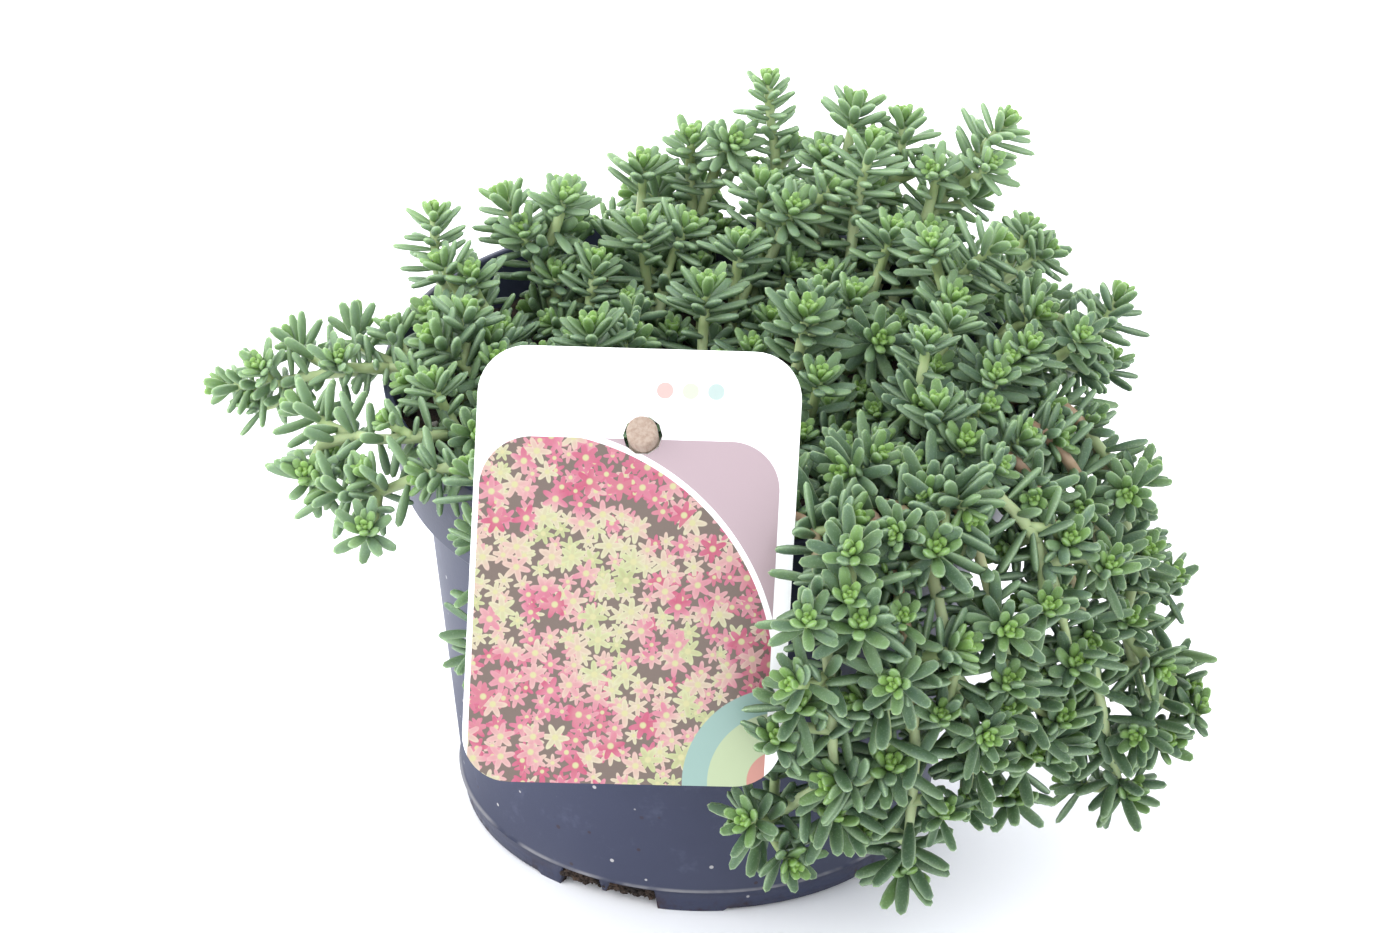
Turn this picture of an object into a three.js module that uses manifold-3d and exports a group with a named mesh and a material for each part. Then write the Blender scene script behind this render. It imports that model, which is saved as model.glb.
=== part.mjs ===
import * as THREE from 'three';
import { mergeVertices } from 'three/addons/utils/BufferGeometryUtils.js';
import Module from 'manifold-3d';

// A white stonecrop trailing over a 12 cm nursery pot, with a hanging card on a wooden peg.
// Millimetres, +Z up. The origin is the centre of the pot's foot, and the card faces -Y.

const wasm = await Module();
wasm.setup();

const gap = 0.3;                  // kept between pieces that touch
const up = new THREE.Vector3(0, 0, 1);

const pot = {
  sides: 28,
  height: 89.4,
  rimRadius: 60,
  collarFoot: 69.7,               // height of the step under the collar
  collarRadius: 56.4,             // at its lower edge
  bodyRadius: 52,                 // just under the collar
  baseRadius: 43.5,
  wall: 1.6,
  skirt: 2,
  floorUnder: 5.6,
  floorTop: 7.2,
  bead: { z: 5, out: 0.7, half: 0.6 },
  notch: { middle: -21.2, half: 12.4, height: 4.2, rib: 1.6, count: 4 },
  foot: { from: 8.5, to: 49.2, lift: 0.6 },   // degrees from the front, where the skirt stands clear
};

const soil = { sides: 16, edge: 79.6, middle: 81.2, rough: 0.8, rings: [27], holeFloor: 72 };

const card = {
  hole: [-11.3, -57, 110],        // centre of the punched hole
  lean: 18,                       // degrees back from upright
  yaw: 6.6,                       // right side farther back
  roll: -3,
  left: -29.2, right: 27.6, top: 15.4, bottom: -63.2,
  corner: 8.5,
  holeRadius: 3.5,
  thickness: 0.8,
};

const peg = { root: [-9, -20, 74], past: 3.4, radius: 2.5, round: 1.3 };

const leafShape = {
  width: 0.29,                    // of the leaf's length
  thickness: 0.72,                // of its width
  share: [0.6, 0.88, 1, 1, 0.95, 0.9, 0.85],  // length by whorl, from the tip down
  spread: [22, 50, 72, 80, 82, 84, 84],       // degrees off the stem's axis
  widest: 0.7,                    // along a plump leaf, which then comes to a point
  edge: 0.85,                     // of the width, at the end of a plain leaf
  clear: 0.35,
};

const stemShape = {
  radius: 1.25, side: 1.05, tip: 0.8,
  mainSides: 4, sideSides: 3,
  spiral: 1 / 3,                  // turn from one whorl to the next, in faces of the stem
  node: 1.9, apart: 6.5,
  rootZ: 73, neckZ: 83,
};
const rootTurn = Math.PI / 8;

// Each stem: its place in the soil, then its shoots. The first shoot rises from the soil, the others
// leave it at a share of its length. A shoot has the points it passes, its leaf length, its whorls
// and, where they stand apart, the distance between them.
const stems = [
  { name: 'stem_left_far', root: [-43, -4], shoots: [
    { path: [[-52, -6, 91], [-60, -7, 92.2], [-70, -5, 89.5], [-82, -3, 85.5], [-91, -1, 83.5]], leaf: 7.5, whorls: 5, step: 3.4, along: 3 },
    { from: 0.58, path: [[-72, -1, 90], [-76.8, 4, 91]], leaf: 7.5, whorls: 2 },
    { from: 0.46, path: [[-67, -8, 93], [-67.5, -9, 95.5]], leaf: 7, whorls: 2 },
    { from: 0.42, path: [[-64, 1, 92], [-65.5, 6, 93]], leaf: 8, whorls: 2 } ] },
  { name: 'stem_left_mid', root: [-38, -21], shoots: [
    { path: [[-45, -28, 91], [-51.5, -32, 93], [-60, -29, 90.5], [-68, -21, 88], [-75, -14, 88.5]], leaf: 8.5, whorls: 3, step: 2.8, along: 2 },
    { from: 0.72, path: [[-70, -25, 86], [-70.5, -28, 83]], leaf: 9, whorls: 2 },
    { from: 0.52, path: [[-57.8, -31.5, 96]], leaf: 6, whorls: 1 } ] },
  { name: 'stem_left_low', root: [-33, -31], shoots: [
    { path: [[-41, -38, 91], [-47, -42, 92.5], [-56, -39, 86.5], [-60, -38, 84], [-65, -36, 83], [-70.5, -33, 83.5]], leaf: 9, whorls: 4, step: 3 },
    { from: 0.74, path: [[-61, -38.5, 89]], leaf: 8, whorls: 1 } ] },
  { name: 'stem_left_top', root: [-35, -10], shoots: [
    { path: [[-41, -11, 92], [-47, -9, 97], [-50.5, -9, 100.5]], leaf: 10, whorls: 3 },
    { from: 0.5, path: [[-50, -14, 93], [-54.5, -15, 95]], leaf: 8, whorls: 2 } ] },
  { name: 'stem_left_shoulder', root: [-40, 8], sides: 3, shoots: [
    { path: [[-46, 8, 90], [-51.5, 6, 97]], leaf: 8, whorls: 3 } ] },
  { name: 'stem_left_upright', root: [-43, 22], shoots: [
    { path: [[-49, 24, 90], [-51.5, 26, 96], [-52.3, 29, 106]], leaf: 7, whorls: 5, step: 2.6 } ] },
  { name: 'stem_left_rear', root: [-34, 12], sides: 3, shoots: [
    { path: [[-44, 15, 92], [-50.5, 18, 101]], leaf: 7.5, whorls: 2 },
    { from: 0.45, path: [[-43, 15, 95], [-44.6, 15, 100.5]], leaf: 7.5, whorls: 2 } ] },
  { name: 'stem_rear_bright', root: [-26, 20], shoots: [
    { path: [[-31, 26, 91], [-35, 31, 98], [-40, 36, 106]], leaf: 8.5, whorls: 5, step: 3 },
    { from: 0.5, path: [[-31, 31, 98], [-27, 34, 101]], leaf: 9, whorls: 2 } ] },
  { name: 'stem_rear_small', root: [-21, 33], sides: 3, shoots: [
    { path: [[-26, 40, 91], [-28.5, 44, 97], [-29.3, 45, 103]], leaf: 7, whorls: 3, step: 2.4 } ] },
  { name: 'stem_rear_star', root: [-12, 36], shoots: [
    { path: [[-14, 46, 91], [-14, 50, 98], [-14, 51, 105]], leaf: 8.5, whorls: 2, along: 1 } ] },
  { name: 'stem_rear_pair', root: [-3, 43], shoots: [
    { path: [[-4, 51, 93], [-5, 54, 101], [-5, 54, 110]], leaf: 8, whorls: 4, step: 2.6 },
    { from: 0.5, path: [[0, 53, 104], [3.2, 50, 111]], leaf: 7.5, whorls: 3 } ] },
  { name: 'stem_mid_left', root: [-10, 20], shoots: [
    { path: [[-12, 26, 92], [-13.8, 29, 104]], leaf: 8.5, whorls: 3 },
    { from: 0.4, path: [[-8, 28, 97], [-5, 30, 104]], leaf: 8.5, whorls: 3 } ] },
  { name: 'stem_mid_column', root: [-19, 12], sides: 3, shoots: [
    { path: [[-22.5, 17, 91], [-21.5, 20, 102]], leaf: 7.5, whorls: 4, step: 2.6 } ] },
  { name: 'stem_behind_card', root: [-19, -8], shoots: [
    { path: [[-21, -7, 92], [-21.8, -5, 101.5]], leaf: 9, whorls: 3 },
    { from: 0.5, path: [[-16, -4, 95], [-13, -2, 98]], leaf: 7, whorls: 2 } ] },
  { name: 'stem_middle', root: [-1, 1], shoots: [
    { path: [[-1.5, 5, 93], [-1, 8, 103.5]], leaf: 9.5, whorls: 3 } ] },
  { name: 'stem_mid_right', root: [8, 26], shoots: [
    { path: [[8.5, 33, 94], [8.8, 40, 108.5]], leaf: 8, whorls: 3 },
    { from: 0.5, path: [[12.5, 33, 101], [14.4, 32, 107.5]], leaf: 8, whorls: 3 } ] },
  { name: 'stem_mid_low', root: [3, 16], sides: 3, shoots: [
    { path: [[4, 21, 94], [4.8, 24, 104.5]], leaf: 7.5, whorls: 3 } ] },
  { name: 'stem_rear_tall', root: [8, 41], shoots: [
    { path: [[10.5, 49, 93], [11.2, 52, 104], [9.6, 56, 114], [9, 58, 121]], leaf: 6.5, whorls: 6, step: 2.7, along: 1 } ] },
  { name: 'stem_rear_fan', root: [17, 37], shoots: [
    { path: [[20.5, 45, 94], [23.5, 49, 106], [26, 56, 117]], leaf: 8.5, whorls: 3, along: 1 },
    { from: 0.42, path: [[20, 48, 104], [20, 48, 110.5]], leaf: 7.5, whorls: 3 } ] },
  { name: 'stem_rear_slim', root: [25, 40], sides: 3, shoots: [
    { path: [[30, 47, 95], [34, 50.5, 107], [34.8, 54, 116]], leaf: 7.5, whorls: 3, step: 2.6, along: 1 } ] },
  { name: 'stem_pale_upright', root: [22, 25], shoots: [
    { path: [[25, 31, 93], [26.3, 36, 106], [29, 40, 118.5]], leaf: 8.5, whorls: 6, step: 3.3, along: 1 } ] },
  { name: 'stem_rear_leaning', root: [32, 30], shoots: [
    { path: [[38, 38, 97], [43, 43, 105], [48, 47, 111], [54.6, 50, 118]], leaf: 8, whorls: 4, step: 2.8, along: 2 },
    { from: 0.5, path: [[41, 41, 109], [40.4, 40, 112]], leaf: 7.5, whorls: 2 } ] },
  { name: 'stem_right_inner', root: [25, 17], sides: 3, shoots: [
    { path: [[29, 21, 94], [33, 24, 108]], leaf: 8, whorls: 3, along: 1 } ] },
  { name: 'stem_right_bright', root: [37, 11], shoots: [
    { path: [[42, 12.5, 98], [47, 14, 106], [53.3, 16, 110.6]], leaf: 8.5, whorls: 4, step: 2.8, along: 1 } ] },
  { name: 'stem_right_twin', root: [43, 20], sides: 3, shoots: [
    { path: [[50, 21.5, 95], [57, 23, 101], [62.4, 25, 104]], leaf: 6.5, whorls: 3, along: 1 },
    { from: 0.7, path: [[57, 26, 105], [58, 28, 107.5]], leaf: 6.5, whorls: 2 } ] },
  { name: 'stem_right_edge', root: [45, 7], sides: 3, shoots: [
    { path: [[53, 7, 95], [60, 4, 102.5]], leaf: 8, whorls: 2 },
    { from: 0.6, path: [[57, 10, 99.5], [60, 13.5, 101.5]], leaf: 7, whorls: 2 } ] },
  { name: 'stem_right_reach', root: [47, -2], shoots: [
    { path: [[55, 0, 93], [64.7, 2, 94.2], [71.3, 7, 98], [75, 11, 104]], leaf: 8, whorls: 6, step: 3.1, along: 1 },
    { from: 0.6, path: [[68, 6.5, 91], [70.8, 9.5, 87.8]], leaf: 7, whorls: 2 } ] },
  { name: 'stem_centre_right', root: [20, 2], shoots: [
    { path: [[23.5, 4.5, 93], [26, 6, 104]], leaf: 8.5, whorls: 3 },
    { from: 0.4, path: [[28, 0, 95], [30.6, -6, 101.5]], leaf: 8.5, whorls: 3 } ] },
  { name: 'stem_shoulder', root: [35, 2], shoots: [
    { path: [[39.5, 2, 94], [44.2, 2, 106]], leaf: 8.5, whorls: 3 } ] },
  { name: 'stem_right_cluster', root: [42, -11], shoots: [
    { path: [[48, -13, 93], [53.5, -15, 103.5]], leaf: 9.5, whorls: 3 },
    { from: 0.6, path: [[50.5, -19, 99], [51.5, -21, 103.5]], leaf: 7.5, whorls: 2 },
    { from: 0.6, path: [[55, -11, 99], [57.8, -11, 104.5]], leaf: 7.5, whorls: 2 } ] },
  { name: 'stem_right_pair', root: [31, -13], sides: 3, shoots: [
    { path: [[36, -14, 92], [40.5, -16, 101.5]], leaf: 8, whorls: 3 },
    { from: 0.45, path: [[36.5, -21, 95], [38, -24.5, 99.5]], leaf: 8, whorls: 2 } ] },
  { name: 'stem_front_small', root: [16, -15], sides: 3, shoots: [
    { path: [[18.5, -17, 91], [19.9, -19, 101]], leaf: 8.5, whorls: 2 } ] },
  { name: 'stem_right_front', root: [37, -20], sides: 3, shoots: [
    { path: [[43.5, -24, 92], [49.7, -26, 100]], leaf: 8, whorls: 2 } ] },
  { name: 'stem_front_bright', root: [13, -3], shoots: [
    { path: [[15.5, -4.5, 93], [17.2, -7, 107.5]], leaf: 9.5, whorls: 3 },
    { from: 0.5, path: [[18.5, -2, 101], [18.5, 2, 106.5]], leaf: 7.5, whorls: 2 } ] },
  { name: 'stem_front_spray', root: [22, -31], shoots: [
    { path: [[26, -39, 91.5], [30.5, -43, 99]], leaf: 9.5, whorls: 3 },
    { from: 0.62, path: [[26.5, -45, 96], [24.5, -48, 98.5]], leaf: 9.5, whorls: 2 },
    { from: 0.55, path: [[34, -41, 93], [36.3, -41.5, 96.5]], leaf: 8, whorls: 2 } ] },
  { name: 'trail_right_rear', root: [50, -7], shoots: [
    { path: [[56, -9, 92], [62.5, -10.5, 92.5], [70, -12, 86], [76, -13, 72], [80, -15, 58], [85, -16, 45], [88.5, -17, 36]], leaf: 8.5, whorls: 3, step: 3, along: 5 },
    { from: 0.36, path: [[73.5, -13.5, 82], [76, -14.5, 80]], leaf: 9, whorls: 2 },
    { from: 0.62, path: [[82, -11, 57], [83.5, -9, 54]], leaf: 8, whorls: 2 } ],
    leaves: [{ from: 0.86, tip: [94.7, -28, 49], width: 2.8 }, { from: 0.28, tip: [75.4, -1, 86.5], width: 2.8 }] },
  { name: 'trail_right_outer', root: [48, -16], shoots: [
    { path: [[54, -19, 92], [60.5, -22, 92.5], [67.5, -24, 84], [73, -25.5, 68], [78, -27, 52], [82, -28, 40], [84.5, -28, 32]], leaf: 9, whorls: 3, step: 3, along: 4 },
    { from: 0.52, path: [[77.5, -23.5, 71], [78.3, -23, 69]], leaf: 8.5, whorls: 2 },
    { from: 0.72, path: [[82, -30, 49.5], [84, -32, 49]], leaf: 8.5, whorls: 2 },
    { from: 0.84, path: [[87, -24.5, 36.5], [89.5, -23.5, 35]], leaf: 8.5, whorls: 2 } ] },
  { name: 'trail_right_middle', root: [44, -25], shoots: [
    { path: [[50, -29, 91.8], [56, -33.5, 92.5], [62, -37, 83], [68, -38, 66], [72.5, -36, 48], [75.5, -33, 33], [78.5, -31, 22.5]], leaf: 9.5, whorls: 3, step: 3, along: 4 },
    { from: 0.22, path: [[55, -30, 94.5], [57, -30, 96.5]], leaf: 8, whorls: 2 },
    { from: 0.78, path: [[72, -32, 36], [70, -31, 32]], leaf: 9, whorls: 1 } ] },
  { name: 'trail_front_right', root: [39, -32], shoots: [
    { path: [[45, -37.5, 91.8], [51, -43, 92.5], [58, -47, 87], [63, -48.5, 76], [66.3, -51, 63]], leaf: 10, whorls: 3, along: 2 },
    { from: 0.2, path: [[45, -35.5, 95], [46, -37, 99]], leaf: 9.5, whorls: 3 },
    { from: 0.33, path: [[51.8, -41.6, 97]], leaf: 7, whorls: 2 },
    { from: 0.55, path: [[62, -46, 87], [63.4, -45, 84.5]], leaf: 9.5, whorls: 2 },
    { from: 0.66, path: [[67, -44, 80], [70, -43.5, 78]], leaf: 9, whorls: 2 },
    { from: 0.6, path: [[60.5, -51, 80], [60.6, -54, 77]], leaf: 9, whorls: 2 } ] },
  { name: 'trail_front_outer', root: [33, -36], shoots: [
    { path: [[39, -43.5, 92.8], [45, -50, 92.8], [50, -56, 83], [54, -58, 69], [58, -56.5, 56], [60.3, -53.5, 45]], leaf: 10.5, whorls: 2, along: 3 },
    { from: 0.22, path: [[43, -48, 95], [46.5, -54, 94]], leaf: 10.5, whorls: 3 },
    { from: 0.3, path: [[42.5, -54.5, 94], [41, -60, 91.5]], leaf: 10.5, whorls: 2 },
    { from: 0.62, path: [[54, -61, 68], [54.2, -62, 66]], leaf: 9, whorls: 2 },
    { from: 0.78, path: [[61.5, -54, 54], [63.5, -53, 51.5]], leaf: 9, whorls: 2 },
    { from: 0.86, path: [[58.5, -52, 40], [57.3, -50, 33.5]], leaf: 10, whorls: 2 } ] },
  { name: 'trail_front_inner', root: [27.5, -41], shoots: [
    { path: [[32, -49, 92.8], [37.5, -56.5, 92.6], [41.5, -62, 82], [45, -64.5, 69], [48, -63, 57], [50, -61, 47.5]], leaf: 9, whorls: 2, along: 3 },
    { from: 0.7, path: [[50, -61, 59], [52.5, -61, 58]], leaf: 8.5, whorls: 2 },
    { from: 0.7, path: [[44.5, -66, 64], [43.5, -67.5, 62]], leaf: 8.5, whorls: 2 },
    { from: 0.9, path: [[49, -58, 42], [48.8, -57, 36]], leaf: 6.5, whorls: 2 } ] },
  { name: 'trail_front_long', root: [23, -40], shoots: [
    { path: [[28, -50, 91.8], [31.5, -58.5, 92.2], [35, -66, 83], [37.5, -69.5, 69], [38.8, -68, 53], [38.8, -65, 38], [38.3, -61, 24.5]], leaf: 11, whorls: 3, step: 3.2, along: 5 },
    { from: 0.42, path: [[34.5, -68, 86], [34.8, -69, 83]], leaf: 8, whorls: 1 },
    { from: 0.8, path: [[41.5, -66, 42], [43, -66, 40]], leaf: 7.5, whorls: 2 } ] },
  { name: 'trail_front_bright', root: [17, -44], shoots: [
    { path: [[21.5, -52.5, 91.8], [25, -61, 92], [28, -68, 86], [31, -71.5, 76], [33, -72.5, 64], [34, -71, 53]], leaf: 11.5, whorls: 3, along: 2 },
    { from: 0.42, path: [[26, -69, 91], [25.6, -71.5, 88.5]], leaf: 9, whorls: 1 },
    { from: 0.52, path: [[28, -71.5, 85], [27.8, -72.7, 84]], leaf: 11, whorls: 3 } ] },
  { name: 'trail_front_card', root: [11, -45], shoots: [
    { path: [[15.5, -53, 91.8], [19.5, -60, 92.3], [20.5, -67, 87], [22.5, -72.5, 76], [23.5, -73.7, 64], [24.5, -72.8, 52], [25, -70.5, 42]], leaf: 10.5, whorls: 3, step: 2.9, along: 3 },
    { from: 0.42, path: [[19.5, -72.5, 87], [18.8, -75, 85.5]], leaf: 8.5, whorls: 2 },
    { from: 0.62, path: [[20, -74.5, 70], [18.4, -74.7, 67.5]], leaf: 10, whorls: 2 },
    { from: 0.74, path: [[18, -75, 62], [15.4, -75, 60]], leaf: 9, whorls: 2 },
    { from: 0.86, path: [[18, -70, 43], [12.5, -66, 34.5]], leaf: 10, whorls: 2 },
    { from: 0.93, path: [[28, -69.5, 38], [29.8, -67.5, 35.5]], leaf: 9, whorls: 1 } ] },
  { name: 'trail_behind_card', root: [4, -46], sides: 3, shoots: [
    { path: [[6.5, -52.5, 91], [8, -58, 92]], leaf: 7.5, whorls: 1 } ] },
  { name: 'trail_card_left', root: [-28, -39], shoots: [
    { path: [[-32.5, -47.5, 92], [-36, -54, 92.2], [-38.5, -59, 83], [-39.5, -58.5, 71], [-39, -55.5, 61.5]], leaf: 7.5, whorls: 3, step: 3, along: 1 },
    { from: 0.5, path: [[-40, -51, 95], [-42, -49, 97]], leaf: 8, whorls: 2 } ] },
  { name: 'stem_front_left', root: [-25, -24], sides: 3, shoots: [
    { path: [[-29, -27, 91], [-31, -30, 99]], leaf: 9, whorls: 3 } ] },
  { name: 'stem_front_left_low', root: [-17, -38], sides: 3, shoots: [
    { path: [[-21.5, -43, 91], [-25, -46, 97]], leaf: 8.5, whorls: 2 } ] },
  { name: 'stem_front_middle', root: [4, -25], sides: 3, shoots: [
    { path: [[5.5, -30, 91], [6, -34, 99.5]], leaf: 9, whorls: 3 } ] },
  { name: 'trail_rear_left', root: [-6, 49], sides: 3, shoots: [
    { path: [[-8, 55.5, 92.3], [-9.5, 63.5, 92.3], [-10.5, 71, 84], [-11, 75.5, 74]], leaf: 8.5, whorls: 3, step: 2.8, along: 1 } ] },
  { name: 'trail_rear_middle', root: [15, 48], sides: 3, shoots: [
    { path: [[17, 54.5, 92.3], [19, 62, 92.5], [20.5, 71, 84], [21.5, 77.5, 73]], leaf: 8.5, whorls: 3, step: 2.8, along: 1 },
    { from: 0.55, path: [[14, 70.5, 88], [11, 75, 86]], leaf: 8.5, whorls: 2 } ] },
  { name: 'trail_rear_right', root: [30, 41], sides: 3, shoots: [
    { path: [[34.5, 46.5, 92.3], [39, 54, 92.5], [43, 62, 84], [45.5, 67.5, 74]], leaf: 8.5, whorls: 3, step: 2.8, along: 1 },
    { from: 0.55, path: [[36.5, 63, 89], [33, 67, 88]], leaf: 8.5, whorls: 2 } ] },
  { name: 'trail_right_behind', root: [42, 29], sides: 3, shoots: [
    { path: [[47.5, 32.5, 92.3], [55, 37.5, 92.5], [62, 42, 84], [66, 45, 74]], leaf: 8.5, whorls: 3, step: 2.8, along: 1 },
    { from: 0.5, path: [[59, 46, 91], [59.5, 50.5, 89.5]], leaf: 8.5, whorls: 2 } ] },
];

// Solids

function solidOf(geometry) {
  geometry.deleteAttribute('normal');
  geometry.deleteAttribute('uv');
  const merged = mergeVertices(geometry, 1e-4);
  return new wasm.Manifold(new wasm.Mesh({
    numProp: 3,
    vertProperties: Float32Array.from(merged.attributes.position.array),
    triVerts: Uint32Array.from(merged.index.array),
  }));
}

function geometryOf(solid) {
  const mesh = solid.getMesh();
  const geometry = new THREE.BufferGeometry();
  geometry.setAttribute('position', new THREE.BufferAttribute(mesh.vertProperties, 3));
  geometry.setIndex(new THREE.BufferAttribute(mesh.triVerts, 1));
  return geometry;
}

function turned(profile, sides) {
  const lathe = new THREE.LatheGeometry(profile.map(([r, z]) => new THREE.Vector2(r, z)), sides);
  return lathe.rotateX(Math.PI / 2);
}

// Pot

function potProfile() {
  const { bead, wall, skirt } = pot;
  const slope = (pot.bodyRadius - pot.baseRadius) / pot.collarFoot;
  const body = (z) => pot.baseRadius + slope * z;
  return [
    [0, pot.floorUnder],
    [body(pot.floorUnder) - skirt, pot.floorUnder],
    [pot.baseRadius - skirt, 0],
    [pot.baseRadius, 0],
    [body(bead.z - bead.half), bead.z - bead.half],
    [body(bead.z) + bead.out, bead.z],
    [body(bead.z + bead.half), bead.z + bead.half],
    [pot.bodyRadius, pot.collarFoot],
    [pot.collarRadius, pot.collarFoot],
    [pot.rimRadius, pot.height],
    [pot.rimRadius - wall, pot.height],
    [pot.collarRadius - wall, pot.collarFoot + wall],
    [pot.bodyRadius - wall, pot.collarFoot + wall],
    [body(pot.floorTop) - wall, pot.floorTop],
    [0, pot.floorTop],
  ];
}

function fromFront(degrees) {
  return (degrees - 90) * Math.PI / 180;
}

function makePot() {
  const { notch, foot } = pot;
  let solid = solidOf(turned(potProfile(), pot.sides));
  const reach = pot.baseRadius * Math.sin(notch.half * Math.PI / 180);
  const width = reach - notch.rib / 2;
  for (let i = 0; i < notch.count; i += 1) {
    const turn = i * 360 / notch.count;
    for (const side of [-1, 1]) {
      const cut = new THREE.BoxGeometry(width, 8, notch.height + 2);
      cut.translate(side * (width + notch.rib) / 2, -pot.baseRadius, (notch.height - 2) / 2);
      cut.rotateZ((turn + notch.middle) * Math.PI / 180);
      solid = solid.subtract(solidOf(cut));
    }
    const sector = new THREE.Shape();
    sector.absarc(0, 0, pot.baseRadius + 3, fromFront(turn + foot.from), fromFront(turn + foot.to), false);
    sector.absarc(0, 0, pot.baseRadius - 4, fromFront(turn + foot.to), fromFront(turn + foot.from), true);
    const lift = new THREE.ExtrudeGeometry(sector, { depth: foot.lift + 2, bevelEnabled: false, curveSegments: 4 });
    solid = solid.subtract(solidOf(lift.translate(0, 0, -2)));
  }
  return solid;
}

// Soil

function soilHeight(x, y) {
  const share = Math.min(1, Math.hypot(x, y) / pot.rimRadius);
  const lumps = Math.sin(x * 0.31 + 1) * Math.cos(y * 0.27) + 0.6 * Math.sin(x * 0.13 - y * 0.19);
  return soil.middle + (soil.edge - soil.middle) * share * share + soil.rough * lumps;
}

function makeSoil(grown) {
  const slope = (pot.rimRadius - pot.collarRadius) / (pot.height - pot.collarFoot);
  const inside = pot.wall + gap + 0.1;
  const edgeRadius = pot.collarRadius + slope * (soil.edge - pot.collarFoot) - inside - 0.3;
  const shelf = pot.collarFoot + inside;
  const bodySlope = (pot.bodyRadius - pot.baseRadius) / pot.collarFoot;
  const profile = [
    [0, pot.floorTop + gap],
    [pot.baseRadius + bodySlope * pot.floorTop - inside, pot.floorTop + gap],
    [pot.bodyRadius - inside, shelf],
    [pot.collarRadius - inside, shelf],
    [edgeRadius, soil.edge],
    ...soil.rings.slice().reverse().map((r) => [r, soil.middle]),
    [0, soil.middle],
  ];
  const geometry = turned(profile, soil.sides);
  const position = geometry.attributes.position;
  for (let i = 0; i < position.count; i += 1) {
    const [x, y, z] = [position.getX(i), position.getY(i), position.getZ(i)];
    if (z > soil.edge + 0.5) {
      position.setZ(i, soilHeight(x, y));
    }
  }
  let solid = solidOf(geometry);
  for (const { root: [x, y], sides = stemShape.mainSides } of grown) {
    const radius = stemShape.radius + (gap + 0.06) / Math.cos(Math.PI / sides);
    const hole = new THREE.CylinderGeometry(radius, radius, 20, sides);
    hole.rotateX(Math.PI / 2).rotateZ(rootTurn + Math.PI / 2);
    solid = solid.subtract(solidOf(hole.translate(x, y, soil.holeFloor + 10)));
  }
  return solid.subtract(pegSolid(gap + 0.1));
}

// Card and peg

function cardMatrix() {
  const degrees = Math.PI / 180;
  const matrix = new THREE.Matrix4().makeTranslation(...card.hole);
  matrix.multiply(new THREE.Matrix4().makeRotationZ(card.yaw * degrees));
  matrix.multiply(new THREE.Matrix4().makeRotationX((90 - card.lean) * degrees));
  matrix.multiply(new THREE.Matrix4().makeRotationZ(card.roll * degrees));
  return matrix;
}

function makeCard() {
  const { left, right, top, bottom, corner } = card;
  const quarter = Math.PI / 2;
  const outline = new THREE.Shape();
  outline.absarc(right - corner, top - corner, corner, 0, quarter, false);
  outline.absarc(left + corner, top - corner, corner, quarter, 2 * quarter, false);
  outline.absarc(left + corner, bottom + corner, corner, 2 * quarter, 3 * quarter, false);
  outline.absarc(right - corner, bottom + corner, corner, 3 * quarter, 4 * quarter, false);
  const hole = new THREE.Path();
  hole.absarc(0, 0, card.holeRadius, 0, 4 * quarter, true);
  outline.holes.push(hole);
  const sheet = new THREE.ExtrudeGeometry(outline, { depth: card.thickness, bevelEnabled: false, curveSegments: 5 });
  return solidOf(sheet.translate(0, 0, -card.thickness / 2).applyMatrix4(cardMatrix()));
}

function pegEnds() {
  const from = new THREE.Vector3(...peg.root);
  const hole = new THREE.Vector3(...card.hole);
  const direction = hole.clone().sub(from).normalize();
  return { from, to: hole.addScaledVector(direction, peg.past), direction };
}

function pegSolid(grow) {
  const { from, to, direction } = pegEnds();
  const length = from.distanceTo(to);
  const radius = peg.radius + grow;
  const profile = [[0, -grow], [radius, -grow], [radius, length - peg.round], [radius - peg.round, length], [0, length]];
  const geometry = turned(profile, 10);
  geometry.applyQuaternion(new THREE.Quaternion().setFromUnitVectors(up, direction));
  return solidOf(geometry.translate(from.x, from.y, from.z));
}

// Clearance between leaves, stems and the rest

const obstacles = [];             // slim rounded rods: { from, to, radius, stem, shoot, level }

function rodDistance(a, b) {
  const d1 = a.to.clone().sub(a.from);
  const d2 = b.to.clone().sub(b.from);
  const r = a.from.clone().sub(b.from);
  const [aa, ee, f] = [d1.dot(d1), d2.dot(d2), d2.dot(r)];
  const c = d1.dot(r);
  const bb = d1.dot(d2);
  const denominator = aa * ee - bb * bb;
  let s = denominator > 1e-9 ? THREE.MathUtils.clamp((bb * f - c * ee) / denominator, 0, 1) : 0;
  let t = (bb * s + f) / ee;
  if (t < 0 || t > 1) {
    t = THREE.MathUtils.clamp(t, 0, 1);
    s = THREE.MathUtils.clamp((bb * t - c) / aa, 0, 1);
  }
  return a.from.clone().addScaledVector(d1, s).distanceTo(b.from.clone().addScaledVector(d2, t));
}

function flatDistance(r, z, [r0, z0], [r1, z1]) {
  const share = ((r - r0) * (r1 - r0) + (z - z0) * (z1 - z0)) / ((r1 - r0) ** 2 + (z1 - z0) ** 2);
  const t = THREE.MathUtils.clamp(share, 0, 1);
  return Math.hypot(r - r0 - t * (r1 - r0), z - z0 - t * (z1 - z0));
}

const potOutline = potProfile().slice(3, 12);
const cardInverse = cardMatrix().invert();

function clearOfPot(point, room) {
  const r = Math.hypot(point.x, point.y);
  if (r < pot.rimRadius - 2 && point.z < soil.middle + 1 + room) {
    return false;
  }
  if (point.z < room) {
    return false;
  }
  return potOutline.slice(1).every((corner, i) => flatDistance(r, point.z, potOutline[i], corner) > room + 0.25);
}

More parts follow.
